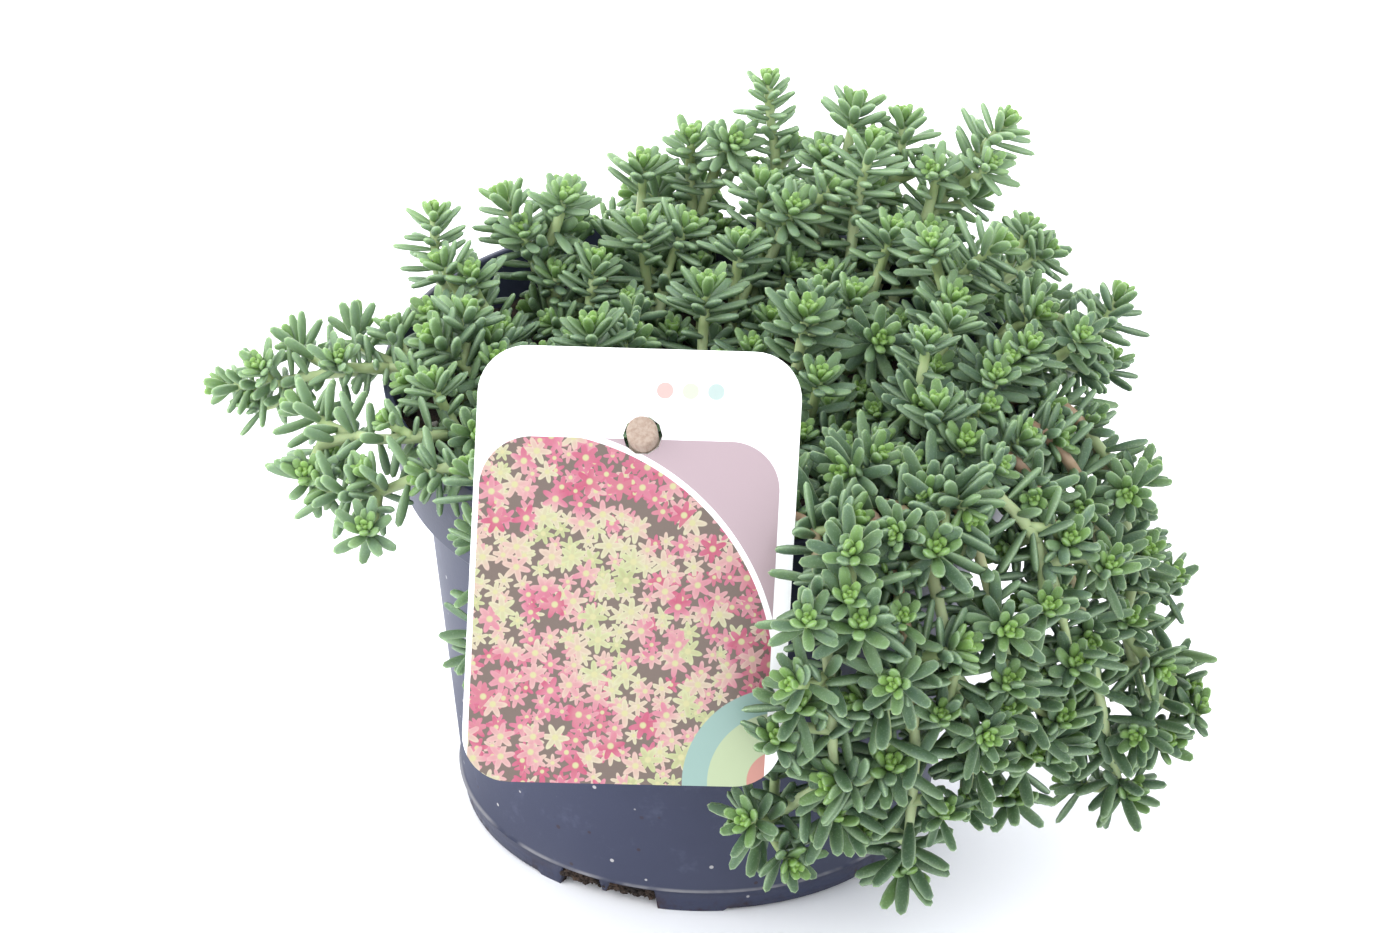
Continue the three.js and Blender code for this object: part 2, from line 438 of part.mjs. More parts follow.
function clearOfCard(point, room) {
  const p = point.clone().applyMatrix4(cardInverse);
  const beside = p.x < card.left - room || p.x > card.right + room || p.y < card.bottom - room || p.y > card.top + room;
  return beside || Math.abs(p.z) > card.thickness / 2 + room;
}

function isClear(rod) {
  for (let i = 0; i <= 6; i += 1) {
    const point = rod.from.clone().lerp(rod.to, i / 6);
    if (!clearOfPot(point, rod.radius) || !clearOfCard(point, rod.radius + leafShape.clear)) {
      return false;
    }
  }
  return obstacles.every((other) => {
    if (other.stem === rod.stem) {
      if (other.shoot !== rod.shoot ? other.level === -1 : other.level < 0 || Math.abs(other.level - rod.level) < 2) {
        return true;
      }
    }
    return rodDistance(rod, other) > rod.radius + other.radius + leafShape.clear;
  });
}

// Stems with whorls of leaves, each leaf raised from a face of its stem

function curveThrough(points) {
  return new THREE.CatmullRomCurve3(points.map((p) => new THREE.Vector3(...p)), false, 'catmullrom', 0.5);
}

// Where a shoot's rings are, and which of the pieces between them carry a whorl of leaves.
function stations(curve, shoot) {
  const length = curve.getLength();
  const rings = [length - 0.2 * shoot.leaf];
  const whorls = [];
  const step = shoot.step ?? 0.21 * shoot.leaf;
  for (let k = 0; k < shoot.whorls + (shoot.along ?? 0); k += 1) {
    const head = k < shoot.whorls;
    const room = head ? step * (0.8 + 0.15 * k) : stemShape.apart;
    const top = head || k === 0 ? rings[0] : rings[0] - room;
    const height = Math.min(room, stemShape.node);
    if (top - height < 2.5) {
      break;
    }
    if (top < rings[0]) {
      rings.unshift(top);
      whorls.unshift(-1);
    }
    rings.unshift(top - height);
    whorls.unshift(k);
    if (head && room - height > 0.4 && top - room > 2.5) {
      rings.unshift(top - room);
      whorls.unshift(-1);
    }
  }
  const count = curve.points.length - 1;
  const bends = curve.points.map((point, i) => length * arcShare(curve, i / count));
  const leafy = rings.slice();
  bends.slice(0, -1).forEach((place) => {
    const at = rings.findIndex((ring) => ring > place);
    const near = leafy.some((ring) => Math.abs(ring - place) < 1.2);
    if (at >= 0 && !near && (at === 0 || whorls[at - 1] < 0)) {
      rings.splice(at, 0, place);
      whorls.splice(at, 0, -1);
    }
  });
  return { length, rings, whorls };
}

function arcShare(curve, t) {
  const lengths = curve.getLengths();
  const place = t * (lengths.length - 1);
  const low = Math.floor(place);
  const high = Math.min(low + 1, lengths.length - 1);
  return (lengths[low] + (lengths[high] - lengths[low]) * (place - low)) / lengths[lengths.length - 1];
}

function ringsAlong(curve, radius, sides, { length, rings, whorls }) {
  let normal = new THREE.Vector3(1, 0, 0);
  let turn = rootTurn;
  return rings.map((place, i) => {
    const share = place / length;
    const centre = curve.getPointAt(share);
    const axis = curve.getTangentAt(share);
    normal = normal.clone().addScaledVector(axis, -normal.dot(axis)).normalize();
    const side = axis.clone().cross(normal);
    turn += i > 0 && whorls[i - 1] >= 0 ? stemShape.spiral * 2 * Math.PI / sides : 0;
    const ringRadius = radius + (stemShape.tip - radius) * share * share;
    const corners = Array.from({ length: sides }, (_, k) => {
      const angle = turn + k * 2 * Math.PI / sides;
      return centre.clone().addScaledVector(normal, ringRadius * Math.cos(angle))
        .addScaledVector(side, ringRadius * Math.sin(angle));
    });
    return { centre, axis, corners };
  });
}

function leafRing(base, direction, across, length, at, fullness) {
  const width = Math.max(0.9, leafShape.width * length) * fullness;
  const over = direction.clone().cross(across).normalize();
  const centre = base.clone().addScaledVector(direction, at * length);
  return [[-1, -1], [1, -1], [1, 1], [-1, 1]].map(([s, t]) => centre.clone()
    .addScaledVector(across, s * width / 2)
    .addScaledVector(over, t * width * leafShape.thickness / 2));
}

// Whether the edge p-q goes through the triangle a, b, c.
function pierces(p, q, [a, b, c]) {
  const direction = q.clone().sub(p);
  const [ab, ac, ap] = [b.clone().sub(a), c.clone().sub(a), p.clone().sub(a)];
  const h = direction.clone().cross(ac);
  const det = ab.dot(h);
  if (Math.abs(det) < 1e-12) {
    return false;
  }
  const u = ap.dot(h) / det;
  const w = ap.cross(ab);
  const v = direction.dot(w) / det;
  const t = ac.dot(w) / det;
  return u > 0 && v > 0 && u + v < 1 && t > 0 && t < 1;
}

function trianglesCross(a, b) {
  for (const axis of ['x', 'y', 'z']) {
    const [low, high] = [Math.min(...a.map((p) => p[axis])), Math.max(...a.map((p) => p[axis]))];
    if (b.every((p) => p[axis] < low) || b.every((p) => p[axis] > high)) {
      return false;
    }
  }
  const shared = a.filter((p) => b.includes(p));
  if (shared.length > 1) {
    return false;
  }
  const edges = (t) => [[t[0], t[1]], [t[1], t[2]], [t[2], t[0]]].filter(([p, q]) => !shared.includes(p) && !shared.includes(q));
  return edges(a).some(([p, q]) => pierces(p, q, b)) || edges(b).some(([p, q]) => pierces(p, q, a));
}

// The faces that turn a stem face with these corners into a leaf.
function leafFaces(corners, base, direction, across, length, plump) {
  const faces = [];
  const quad = (a, b, c, d) => faces.push([a, b, c], [a, c, d]);
  const tip = base.clone().addScaledVector(direction, length);
  if (plump) {
    const ring = leafRing(base, direction, across, length, leafShape.widest, 1);
    for (let j = 0; j < 4; j += 1) {
      const next = (j + 1) % 4;
      quad(corners[j], corners[next], ring[next], ring[j]);
      faces.push([ring[j], ring[next], tip]);
    }
    return faces;
  }
  const half = Math.max(0.9, leafShape.width * length) * leafShape.edge / 2;
  const left = tip.clone().addScaledVector(across, -half);
  const right = tip.clone().addScaledVector(across, half);
  quad(corners[0], corners[1], right, left);
  quad(corners[2], corners[3], left, right);
  faces.push([corners[1], corners[2], right], [corners[3], corners[0], left]);
  return faces;
}

// A leaf is tried as it should stand, then swung, lifted or shortened until it is clear.
const leafTrials = [
  [0, 0, 1], [0, 12, 1], [0, -10, 1], [12, 0, 1], [-12, 0, 1], [12, 12, 1], [-12, 12, 1], [0, -18, 0.9], [14, -10, 0.9],
  [-14, -10, 0.9], [0, 22, 0.85], [20, 8, 0.85], [-20, 8, 0.85], [0, 0, 0.75], [0, 15, 0.7], [12, -8, 0.7], [-12, -8, 0.7],
];

function placeLeaf(corners, axis, outward, shoot, whorl, tag, others) {
  const degrees = Math.PI / 180;
  const order = Math.min(whorl, leafShape.share.length - 1);
  const full = shoot.leaf * leafShape.share[order];
  const plump = whorl === 1 || (whorl === 2 && tag.shoot === 0);
  const base = corners.reduce((sum, c) => sum.add(c), new THREE.Vector3()).multiplyScalar(0.25);
  for (const [swing, lift, share] of leafTrials) {
    const spread = (leafShape.spread[order] - lift) * degrees;
    const swung = outward.clone().applyAxisAngle(axis, swing * degrees);
    const direction = axis.clone().multiplyScalar(Math.cos(spread)).addScaledVector(swung, Math.sin(spread));
    const across = axis.clone().cross(swung).normalize();
    const length = full * share;
    const radius = Math.max(0.9, leafShape.width * length) * 0.58;
    const rod = {
      from: base.clone().addScaledVector(direction, 0.3 * length),
      to: base.clone().addScaledVector(direction, length - radius * 0.5),
      radius,
      ...tag,
      level: whorl,
    };
    if (!isClear(rod)) {
      continue;
    }
    const faces = leafFaces(corners, base, direction, across, length, plump);
    if (!faces.some((face, i) => [...others, ...faces.slice(i + 1)].some((other) => trianglesCross(face, other)))) {
      obstacles.push(rod);
      return faces;
    }
  }
  return null;
}

function manifoldOf(triangles) {
  const index = new Map();
  const corners = triangles.flat().map((corner) => {
    if (!index.has(corner)) {
      index.set(corner, index.size);
    }
    return index.get(corner);
  });
  return new wasm.Manifold(new wasm.Mesh({
    numProp: 3,
    vertProperties: Float32Array.from([...index.keys()].flatMap((v) => v.toArray())),
    triVerts: Uint32Array.from(corners),
  }));
}

function shootSolid({ curve, shoot, sides, places, rings, tag }) {
  const first = rings[0].corners;
  const last = rings[rings.length - 1].corners;
  const tip = curve.getPointAt(1);
  const panels = [];
  for (let k = 1; k < sides - 1; k += 1) {
    panels.push({ faces: [[first[0], first[k + 1], first[k]]] });
  }
  for (let k = 0; k < sides; k += 1) {
    panels.push({ faces: [[last[k], last[(k + 1) % sides], tip]] });
  }
  for (let i = rings.length - 2; i >= 0; i -= 1) {
    for (let k = 0; k < sides; k += 1) {
      const next = (k + 1) % sides;
      const corners = [rings[i].corners[k], rings[i].corners[next], rings[i + 1].corners[next], rings[i + 1].corners[k]];
      panels.push({
        corners, segment: i, whorl: places.whorls[i],
        faces: [[corners[0], corners[1], corners[2]], [corners[0], corners[2], corners[3]]],
      });
    }
  }
  for (const panel of panels.filter(({ whorl }) => whorl >= 0)) {
    const { corners, segment, whorl } = panel;
    const middle = rings[segment].centre.clone().add(rings[segment + 1].centre).multiplyScalar(0.5);
    const axis = rings[segment + 1].axis;
    const outward = corners.reduce((sum, c) => sum.add(c), new THREE.Vector3()).multiplyScalar(0.25).sub(middle);
    outward.addScaledVector(axis, -outward.dot(axis)).normalize();
    const others = panels.filter((other) => other !== panel).flatMap(({ faces }) => faces);
    panel.faces = placeLeaf(corners, axis, outward, shoot, whorl, tag, others) ?? panel.faces;
  }
  return manifoldOf(panels.flatMap(({ faces }) => faces));
}

function singleLeaf(curve, leaf) {
  const base = curve.getPointAt(leaf.from);
  const tip = new THREE.Vector3(...leaf.tip);
  const length = base.distanceTo(tip);
  const direction = tip.clone().sub(base).normalize();
  const across = direction.clone().cross(up).normalize();
  const fullness = leaf.width / (leafShape.width * length);
  const low = leafRing(base, direction, across, length, 0, 0.6 * fullness);
  const high = leafRing(base, direction, across, length, 0.8, fullness);
  const faces = [[low[0], low[3], low[2]], [low[0], low[2], low[1]]];
  for (let k = 0; k < 4; k += 1) {
    const next = (k + 1) % 4;
    faces.push([low[k], low[next], high[next]], [low[k], high[next], high[k]], [high[k], high[next], tip]);
  }
  return manifoldOf(faces);
}

function layOut(stem) {
  const [x, y] = stem.root;
  const main = curveThrough([[x, y, stemShape.rootZ], [x, y, stemShape.neckZ], ...stem.shoots[0].path]);
  const sides = stem.shoots.slice(1).map((shoot) => curveThrough([main.getPointAt(shoot.from).toArray(), ...shoot.path]));
  return [main, ...sides].map((curve, i) => {
    const shoot = stem.shoots[i];
    const radius = i === 0 ? stemShape.radius : stemShape.side;
    const sides = i === 0 ? stem.sides ?? stemShape.mainSides : stemShape.sideSides;
    const places = stations(curve, shoot);
    const rings = ringsAlong(curve, radius, sides, places);
    const tag = { stem: stem.name, shoot: i };
    rings.slice(1).forEach((ring, j) => {
      obstacles.push({ from: rings[j].centre, to: ring.centre, radius, ...tag, level: i > 0 && j === 0 ? -1 : -2 });
    });
    return { curve, shoot, sides, places, rings, tag };
  });
}

// Single leaves have a set tip, so they take their room before the whorls do.
function claimLeaves(stem, shoots) {
  (stem.leaves ?? []).forEach((leaf) => {
    const from = shoots[0].curve.getPointAt(leaf.from);
    obstacles.push({ from, to: new THREE.Vector3(...leaf.tip), radius: leaf.width / 2, stem: stem.name, shoot: -1, level: -1 });
  });
}

function growStem(stem, shoots) {
  const extra = (stem.leaves ?? []).map((leaf) => singleLeaf(shoots[0].curve, leaf));
  return wasm.Manifold.union([...shoots.map(shootSolid), ...extra]).simplify(0.01);
}

// Assembly

const finish = {
  pot: { color: 0x4d5061, roughness: 0.5, metalness: 0 },
  soil: { color: 0x2b2523, roughness: 1, metalness: 0 },
  card: { color: 0xf4f2f3, roughness: 0.55, metalness: 0 },
  peg: { color: 0xc8ab86, roughness: 0.8, metalness: 0 },
  stem: { color: 0x6f9a62, roughness: 0.5, metalness: 0 },
};

function piece(name, solid, look) {
  const mesh = new THREE.Mesh(geometryOf(solid), new THREE.MeshStandardMaterial(look));
  mesh.name = name;
  return mesh;
}

const part = new THREE.Group();
part.add(piece('pot', makePot(), finish.pot));
part.add(piece('soil', makeSoil(stems), finish.soil));
part.add(piece('card', makeCard(), finish.card));
part.add(piece('peg', pegSolid(0), finish.peg));

obstacles.push({ ...pegEnds(), radius: peg.radius, stem: 'peg', shoot: 0, level: -2 });
const laidOut = stems.map(layOut);
stems.forEach((stem, i) => claimLeaves(stem, laidOut[i]));
stems.forEach((stem, i) => part.add(piece(stem.name, growStem(stem, laidOut[i]), finish.stem)));

export default part;
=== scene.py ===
import math
import random

import bmesh
import bpy
from mathutils import Matrix, Vector, geometry, noise


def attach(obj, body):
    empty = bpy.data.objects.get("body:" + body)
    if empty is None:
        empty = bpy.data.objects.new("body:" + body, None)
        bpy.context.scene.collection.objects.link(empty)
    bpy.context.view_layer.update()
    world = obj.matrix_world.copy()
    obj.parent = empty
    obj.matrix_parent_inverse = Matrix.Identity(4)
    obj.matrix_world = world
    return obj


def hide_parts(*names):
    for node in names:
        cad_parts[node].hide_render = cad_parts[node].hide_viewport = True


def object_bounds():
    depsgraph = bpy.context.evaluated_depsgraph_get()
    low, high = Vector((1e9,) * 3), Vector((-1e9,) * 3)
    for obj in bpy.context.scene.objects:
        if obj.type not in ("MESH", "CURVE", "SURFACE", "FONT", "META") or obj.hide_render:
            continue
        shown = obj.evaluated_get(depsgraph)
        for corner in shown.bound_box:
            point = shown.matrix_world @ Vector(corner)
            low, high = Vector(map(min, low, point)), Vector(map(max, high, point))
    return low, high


# A white stonecrop trailing over a nursery pot, with a hanging card on a wooden peg.
# Lengths are in millimetres until a piece is finished, and the front is -Y.

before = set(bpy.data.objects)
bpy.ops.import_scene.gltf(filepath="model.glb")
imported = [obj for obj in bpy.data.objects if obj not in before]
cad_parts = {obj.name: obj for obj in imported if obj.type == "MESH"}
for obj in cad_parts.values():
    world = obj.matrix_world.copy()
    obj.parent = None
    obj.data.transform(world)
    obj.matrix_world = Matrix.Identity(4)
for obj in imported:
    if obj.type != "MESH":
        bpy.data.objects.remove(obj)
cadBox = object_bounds()
scene = bpy.context.scene
print("frame loaded")


# Camera, floor and lights

view = {"place": (0, -1104.1, 736.2), "down": 31.12, "turn": 0.06, "roll": 2.02, "lens": 179.56, "sensor": 36,
        "clip": (0.05, 100)}

studio = {
    "floorSize": 30000,
    "floorColor": (250, 250, 253),
    "world": (0.93, 0.96, 1.0),
    "worldLight": 1.78,
    # where each lamp is, what it points at, its width and height, and its watts
    "lamps": {
        "windowLeft": ((-1500, -500, 900), (0, 0, 60), (1300, 1300), 20),
        "boxAbove": ((150, 100, 1700), (0, 0, 60), (1500, 1500), 6),
        "boxFront": ((500, -1500, 900), (0, 0, 50), (900, 900), 3),
        "boxBehind": ((-300, 1500, 700), (0, 0, 90), (1600, 900), 16),
    },
}


def setCamera():
    camera = bpy.data.objects.new("camera", bpy.data.cameras.new("camera"))
    scene.collection.objects.link(camera)
    camera.data.lens = view["lens"]
    camera.data.sensor_width = view["sensor"]
    camera.data.clip_start, camera.data.clip_end = view["clip"]
    turn = Matrix.Rotation(math.radians(view["turn"]), 4, "Z")
    tilt = Matrix.Rotation(math.radians(90 - view["down"]), 4, "X")
    roll = Matrix.Rotation(math.radians(view["roll"]), 4, "Z")
    camera.matrix_world = Matrix.Translation(Vector(view["place"]) / 1000) @ turn @ tilt @ roll
    scene.camera = camera


def setLights():
    scene.view_settings.view_transform = "Standard"
    world = bpy.data.worlds.new("studio")
    world.use_nodes = True
    backdrop = world.node_tree.nodes["Background"]
    backdrop.inputs["Color"].default_value = (*studio["world"], 1)
    backdrop.inputs["Strength"].default_value = studio["worldLight"]
    scene.world = world
    for name, (place, target, size, watts) in studio["lamps"].items():
        lamp = bpy.data.lights.new(name, "AREA")
        lamp.shape = "RECTANGLE"
        lamp.size, lamp.size_y = size[0] / 1000, size[1] / 1000
        lamp.energy = watts
        holder = bpy.data.objects.new(name, lamp)
        scene.collection.objects.link(holder)
        holder.location = Vector(place) / 1000
        holder.rotation_euler = (Vector(target) - Vector(place)).to_track_quat("-Z", "Y").to_euler()


# Finishes: a node's output is wrapped so that shader maths reads as plain sums

class Wire:
    def __init__(self, finish, socket):
        self.finish, self.socket = finish, socket

    def __add__(self, other):
        return self.finish.maths("ADD", self, other)

    def __sub__(self, other):
        return self.finish.maths("SUBTRACT", self, other)

    def __rsub__(self, other):
        return self.finish.maths("SUBTRACT", other, self)

    def __mul__(self, other):
        return self.finish.maths("MULTIPLY", self, other)

    def __pow__(self, other):
        return self.finish.maths("POWER", self, other)

    def __gt__(self, other):
        return self.finish.maths("GREATER_THAN", self, other)

    def __abs__(self):
        return self.finish.maths("ABSOLUTE", self)

    __radd__ = __add__
    __rmul__ = __mul__


def tint(color):
    # screen values from 0 to 255 as the light values that Blender works in
    return tuple((c / 255 / 12.92) if c <= 10 else ((c / 255 + 0.055) / 1.055) ** 2.4 for c in color) + (1,)


class Finish:
    def __init__(self, name, **plain):
        self.material = bpy.data.materials.new(name)
        self.material.use_nodes = True
        self.tree = self.material.node_tree
        self.shader = self.tree.nodes["Principled BSDF"]
        self.place = self.node("ShaderNodeTexCoord", output="Object")
        for socket, value in plain.items():
            self.shader.inputs[socket.replace("_", " ")].default_value = value

    def node(self, kind, settings=None, sockets=None, output=0):
        made = self.tree.nodes.new(kind)
        for key, value in (settings or {}).items():
            if key == "stops":
                stops = made.color_ramp.elements
                stops.remove(stops[1])
                stops[0].position, stops[0].color = value[0][0], tint(value[0][1])
                for at, color in value[1:]:
                    stops.new(at).color = tint(color)
            else:
                setattr(made, key, value)
        for key, value in (sockets or {}).items():
            self.give(made.inputs[key], value)
        return Wire(self, made.outputs[output])

    def give(self, socket, value):
        if isinstance(value, Wire):
            self.tree.links.new(value.socket, socket)
        elif isinstance(value, tuple) and socket.type == "RGBA":
            socket.default_value = tint(value)
        else:
            socket.default_value = value

    def on(self, name, value):
        self.give(self.shader.inputs[name], value)

    def maths(self, operation, first, second=0):
        return self.node("ShaderNodeMath", {"operation": operation}, {0: first, 1: second})

    def vector(self, operation, first, second=(0, 0, 0), output="Vector"):
        return self.node("ShaderNodeVectorMath", {"operation": operation}, {0: first, 1: second}, output)

    def noise(self, size, detail=2, rough=0.5):
        # clouds about this many mm across
        return self.node("ShaderNodeTexNoise", sockets={
            "Vector": self.place, "Scale": 1000 / size, "Detail": detail, "Roughness": rough}, output="Fac")

    def attribute(self, name):
        return self.node("ShaderNodeAttribute", {"attribute_name": name}, output="Fac")

    def mix(self, share, first, second):
        return self.node("ShaderNodeMix", {"data_type": "RGBA"}, {0: share, 6: first, 7: second}, output=2)

    def ease(self, value, low, high):
        # 0 up to low, 1 from high, or the other way round where low is the larger
        return self.node("ShaderNodeMapRange", {"interpolation_type": "SMOOTHSTEP"},
                         {"Value": value, "From Min": low, "From Max": high})

    def ramp(self, value, stops):
        return self.node("ShaderNodeValToRGB", {"stops": stops}, {"Fac": value}, output="Color")

    def axis(self, letter, at=None):
        return self.node("ShaderNodeSeparateXYZ", sockets={0: at or self.place}, output=letter)

    def laidOn(self, matrix, scale):
        # places measured along a tilted piece's own axes
        return self.node("ShaderNodeMapping", {"vector_type": "TEXTURE"}, {
            "Vector": self.place, "Location": matrix.translation / 1000,
            "Rotation": matrix.to_euler(), "Scale": scale}, output="Vector")

    def bump(self, height, depth, strength=1.0):
        self.on("Normal", self.node("ShaderNodeBump", sockets={
            "Height": height, "Distance": depth / 1000, "Strength": strength}, output="Normal"))


def finishPiece(bm, name, finishes, nodes, layers=None):
    bmesh.ops.scale(bm, vec=(0.001, 0.001, 0.001), verts=bm.verts)
    mesh = bpy.data.meshes.new(name)
    bm.to_mesh(mesh)
    bm.free()
    for layer, values in (layers or {}).items():
        mesh.attributes.new(layer, "FLOAT", "POINT").data.foreach_set("value", values)
    mesh.shade_smooth()
    for finish in finishes:
        mesh.materials.append(finish.material)
    piece = bpy.data.objects.new(name, mesh)
    scene.collection.objects.link(piece)
    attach(piece, "root")
    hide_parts(*nodes)


def spunBody(profile, steps):
    bm = bmesh.new()
    corners = [bm.verts.new((r, 0, z)) for r, z in profile]
    edges = [bm.edges.new(pair) for pair in zip(corners, corners[1:])]
    bmesh.ops.spin(bm, geom=corners + edges, cent=(0, 0, 0), axis=(0, 0, 1), angle=math.tau, steps=steps,
                   use_merge=True)
    bmesh.ops.remove_doubles(bm, verts=bm.verts, dist=0.001)
    bmesh.ops.recalc_face_normals(bm, faces=bm.faces)
    return bm


def ringEdges(bm, radius, height, slack=0.01):
    def isOn(vert):
        return abs(math.hypot(vert.co.x, vert.co.y) - radius) < slack and abs(vert.co.z - height) < slack
    return [edge for edge in bm.edges if all(isOn(vert) for vert in edge.verts)]


def bevelRings(bm, rings, segments=3):
    for radius, height, size in rings:
        bmesh.ops.bevel(bm, geom=ringEdges(bm, radius, height), offset=size, offset_type="OFFSET",
                        segments=segments, profile=0.5, affect="EDGES", material=-1)


def makeFloor():
    bm = bmesh.new()
    bmesh.ops.create_grid(bm, x_segments=1, y_segments=1, size=studio["floorSize"] / 2000)
    mesh = bpy.data.meshes.new("floor")
    bm.to_mesh(mesh)
    bm.free()
    finish = Finish("paleFloor", Roughness=0.9)
    finish.on("Base Color", studio["floorColor"])
    mesh.materials.append(finish.material)
    floor = bpy.data.objects.new("floor", mesh)
    scene.collection.objects.link(floor)


setCamera()
setLights()
makeFloor()
print("camera, floor and lights set")


# Peat and its crumbs, which the pot's notch needs as well as the soil

soil = {
    "steps": 120, "ringGap": 1.7,  # faces round it, and mm between rings
    "edge": 79.6, "middle": 81.2,  # heights at the pot's wall and in the middle
    "rough": 0.8, "clods": 1.1,  # mm up and down in broad waves, and in small clods
    "clear": 0.4, "bed": 0.3,  # mm clear of the pot's wall and of its floor
    "peat": ((20, 16, 15), (52, 40, 33), (86, 66, 52)),
    "bark": ((58, 38, 26), (118, 84, 58)),
    "perlite": ((226, 222, 214), (176, 168, 156)),
    # peat, bark and perlite on top: how many, least and most mm, and flatness, all within so far of the middle
    "crumbs": ((520, (1.2, 4), 0.7), (70, (2.5, 7), 0.35), (26, (1.2, 2.8), 0.9)),
    "within": 55,
}


def peatFinish():
    dark, middle, light = soil["peat"]
    finish = Finish("peat", Roughness=1.0)
    lumps = finish.noise(2.6, 5, 0.7)
    finish.on("Base Color", finish.ramp(lumps, [(0.3, dark), (0.8, light), (0.55, middle)]))
    finish.bump(lumps + finish.noise(0.5, 2) * 0.6, 0.9, 0.9)
    return finish


def addCrumb(bm, place, size, kind, chance):
    made = bmesh.ops.create_icosphere(bm, subdivisions=1, radius=0.5)["verts"]
    for vert in made:
        vert.co *= 0.75 + 0.5 * chance.random()
    turn = Matrix.Rotation(chance.uniform(0, math.tau), 4, "Z") @ Matrix.Rotation(chance.uniform(-0.5, 0.5), 4, "X")
    bmesh.ops.transform(bm, verts=made, matrix=Matrix.Translation(place) @ turn @ Matrix.Diagonal((*size, 1)))
    for face in {face for vert in made for face in vert.link_faces}:
        face.material_index = kind


# Pot

pot = {
    "steps": 360,
    "height": 89.4, "rimRadius": 60,
    "collarFoot": 69.7, "collarRadius": 56.4, "bodyRadius": 52, "baseRadius": 43.5,
    "wall": 1.6, "skirt": 2, "floorUnder": 5.6, "floorTop": 7.2,
    "rings": {"foot": 2.2, "body": (30, 55), "collar": 80},  # heights of the plain rings between its forms
    "bead": {"height": 5, "out": 0.7, "half": 0.45},
    # four notches in the foot ring, in degrees from the front, each with a thin rib
    "notch": {"apart": 90, "middle": -21.2, "half": 12.4, "height": 4.2, "rib": 1.6, "ribFoot": 1.9},
    "foot": {"from": 8.5, "to": 49.2, "lift": 0.6},  # the ring is a little higher between these angles
    "round": {"rim": 0.7, "rimInside": 0.5, "collar": 0.6, "neck": 0.5, "base": 0.25},
    "plastic": (46, 50, 70),
    "worn": (72, 76, 96),
    # pale dust, also the colour of the painted highlight along the bead line
    "dust": (170, 168, 168),
    "mud": (52, 34, 22),
    "dustSpecks": (3.6, 0.5, 0.4),  # mm between them, widest in mm, and the share that is there
    "gritSpecks": (3.1, 0.55, 0.4),
    "crumbs": {"count": 460, "size": (0.5, 1.5), "over": 0.2, "deep": 2.1},  # dried soil in the front notch
}


def wallRadius(height):
    slope = (pot["bodyRadius"] - pot["baseRadius"]) / pot["collarFoot"]
    return pot["baseRadius"] + slope * height


def collarAt(height):
    share = (height - pot["collarFoot"]) / (pot["height"] - pot["collarFoot"])
    return pot["collarRadius"] + (pot["rimRadius"] - pot["collarRadius"]) * share


def specks(finish, cell, size, share):
    cells = {"Vector": finish.place, "Scale": 1000 / cell}
    far = finish.node("ShaderNodeTexVoronoi", sockets=cells, output="Distance") * cell
    own = finish.axis("X", finish.node("ShaderNodeTexVoronoi", sockets=cells, output="Color"))
    return finish.ease(far, size * own, size * own * 0.7) * (own > 1 - share)


def potFinish():
    finish = Finish("slatePlastic", Specular_IOR_Level=0.24)
    height = finish.axis("Z") * 1000
    cloudy = finish.noise(26, 3)
    rubbed = finish.ease(finish.noise(7, 4, 0.7), 0.56, 0.72) * 0.35
    color = finish.mix(cloudy * 0.35 + rubbed, pot["plastic"], pot["worn"])
    # painted highlight: the bead line is painted paler in places, as if lit
    offBead = abs(height - pot["bead"]["height"])
    beadHighlight = finish.ease(offBead, 0.45, 0.15) * finish.ease(finish.noise(9, 3), 0.3, 0.6)
    color = finish.mix(beadHighlight * 0.45, color, pot["dust"])
    dust = specks(finish, *pot["dustSpecks"])
    color = finish.mix(dust * 0.85, color, pot["dust"])
    # soil stains the lowest 5 mm, grit clings to the lower half, and the underside is dirty all over
    stain = finish.ease(height, 5, 0) * finish.ease(finish.noise(5, 3, 0.7), 0.46, 0.66)
    grit = specks(finish, *pot["gritSpecks"]) * finish.ease(height, 48, 4)
    far = finish.vector("LENGTH", finish.vector("MULTIPLY", finish.place, (1000, 1000, 0)), output="Value")
    under = finish.ease(far, wallRadius(0) - 0.9, wallRadius(0) - 1.6) * finish.ease(height, 7, 6)
    color = finish.mix(stain * 0.75 + grit * 0.6 + under, color, pot["mud"])
    finish.on("Base Color", color)
    finish.on("Roughness", 0.36 + 0.16 * cloudy + 0.25 * (stain + dust))
    finish.bump(finish.noise(0.5, 2) * 0.5 + finish.noise(3, 2) * 0.5, 0.12, 0.35)
    return finish


def cutNotches(bm):
    # the foot ring's lower edge is pressed up in each notch, but not quite flat, and less at the rib
    notch, foot, thin = pot["notch"], pot["foot"], 0.02
    for vert in bm.verts:
        if vert.co.z > notch["height"] or math.hypot(vert.co.x, vert.co.y) < pot["baseRadius"] - pot["skirt"] - 1:
            continue
        angle = math.degrees(math.atan2(vert.co.x, -vert.co.y))
        off = (angle - notch["middle"] + notch["apart"] / 2) % notch["apart"] - notch["apart"] / 2
        if abs(off) < notch["half"]:
            inRib = math.radians(abs(off)) * pot["baseRadius"] < notch["rib"] / 2
            edge = notch["ribFoot"] if inRib else notch["height"]
            vert.co.z = max(vert.co.z, edge - thin * (edge - vert.co.z))
        elif foot["from"] < angle % notch["apart"] < foot["to"]:
            vert.co.z = max(vert.co.z, foot["lift"] * (1 + 0.2 * vert.co.z))


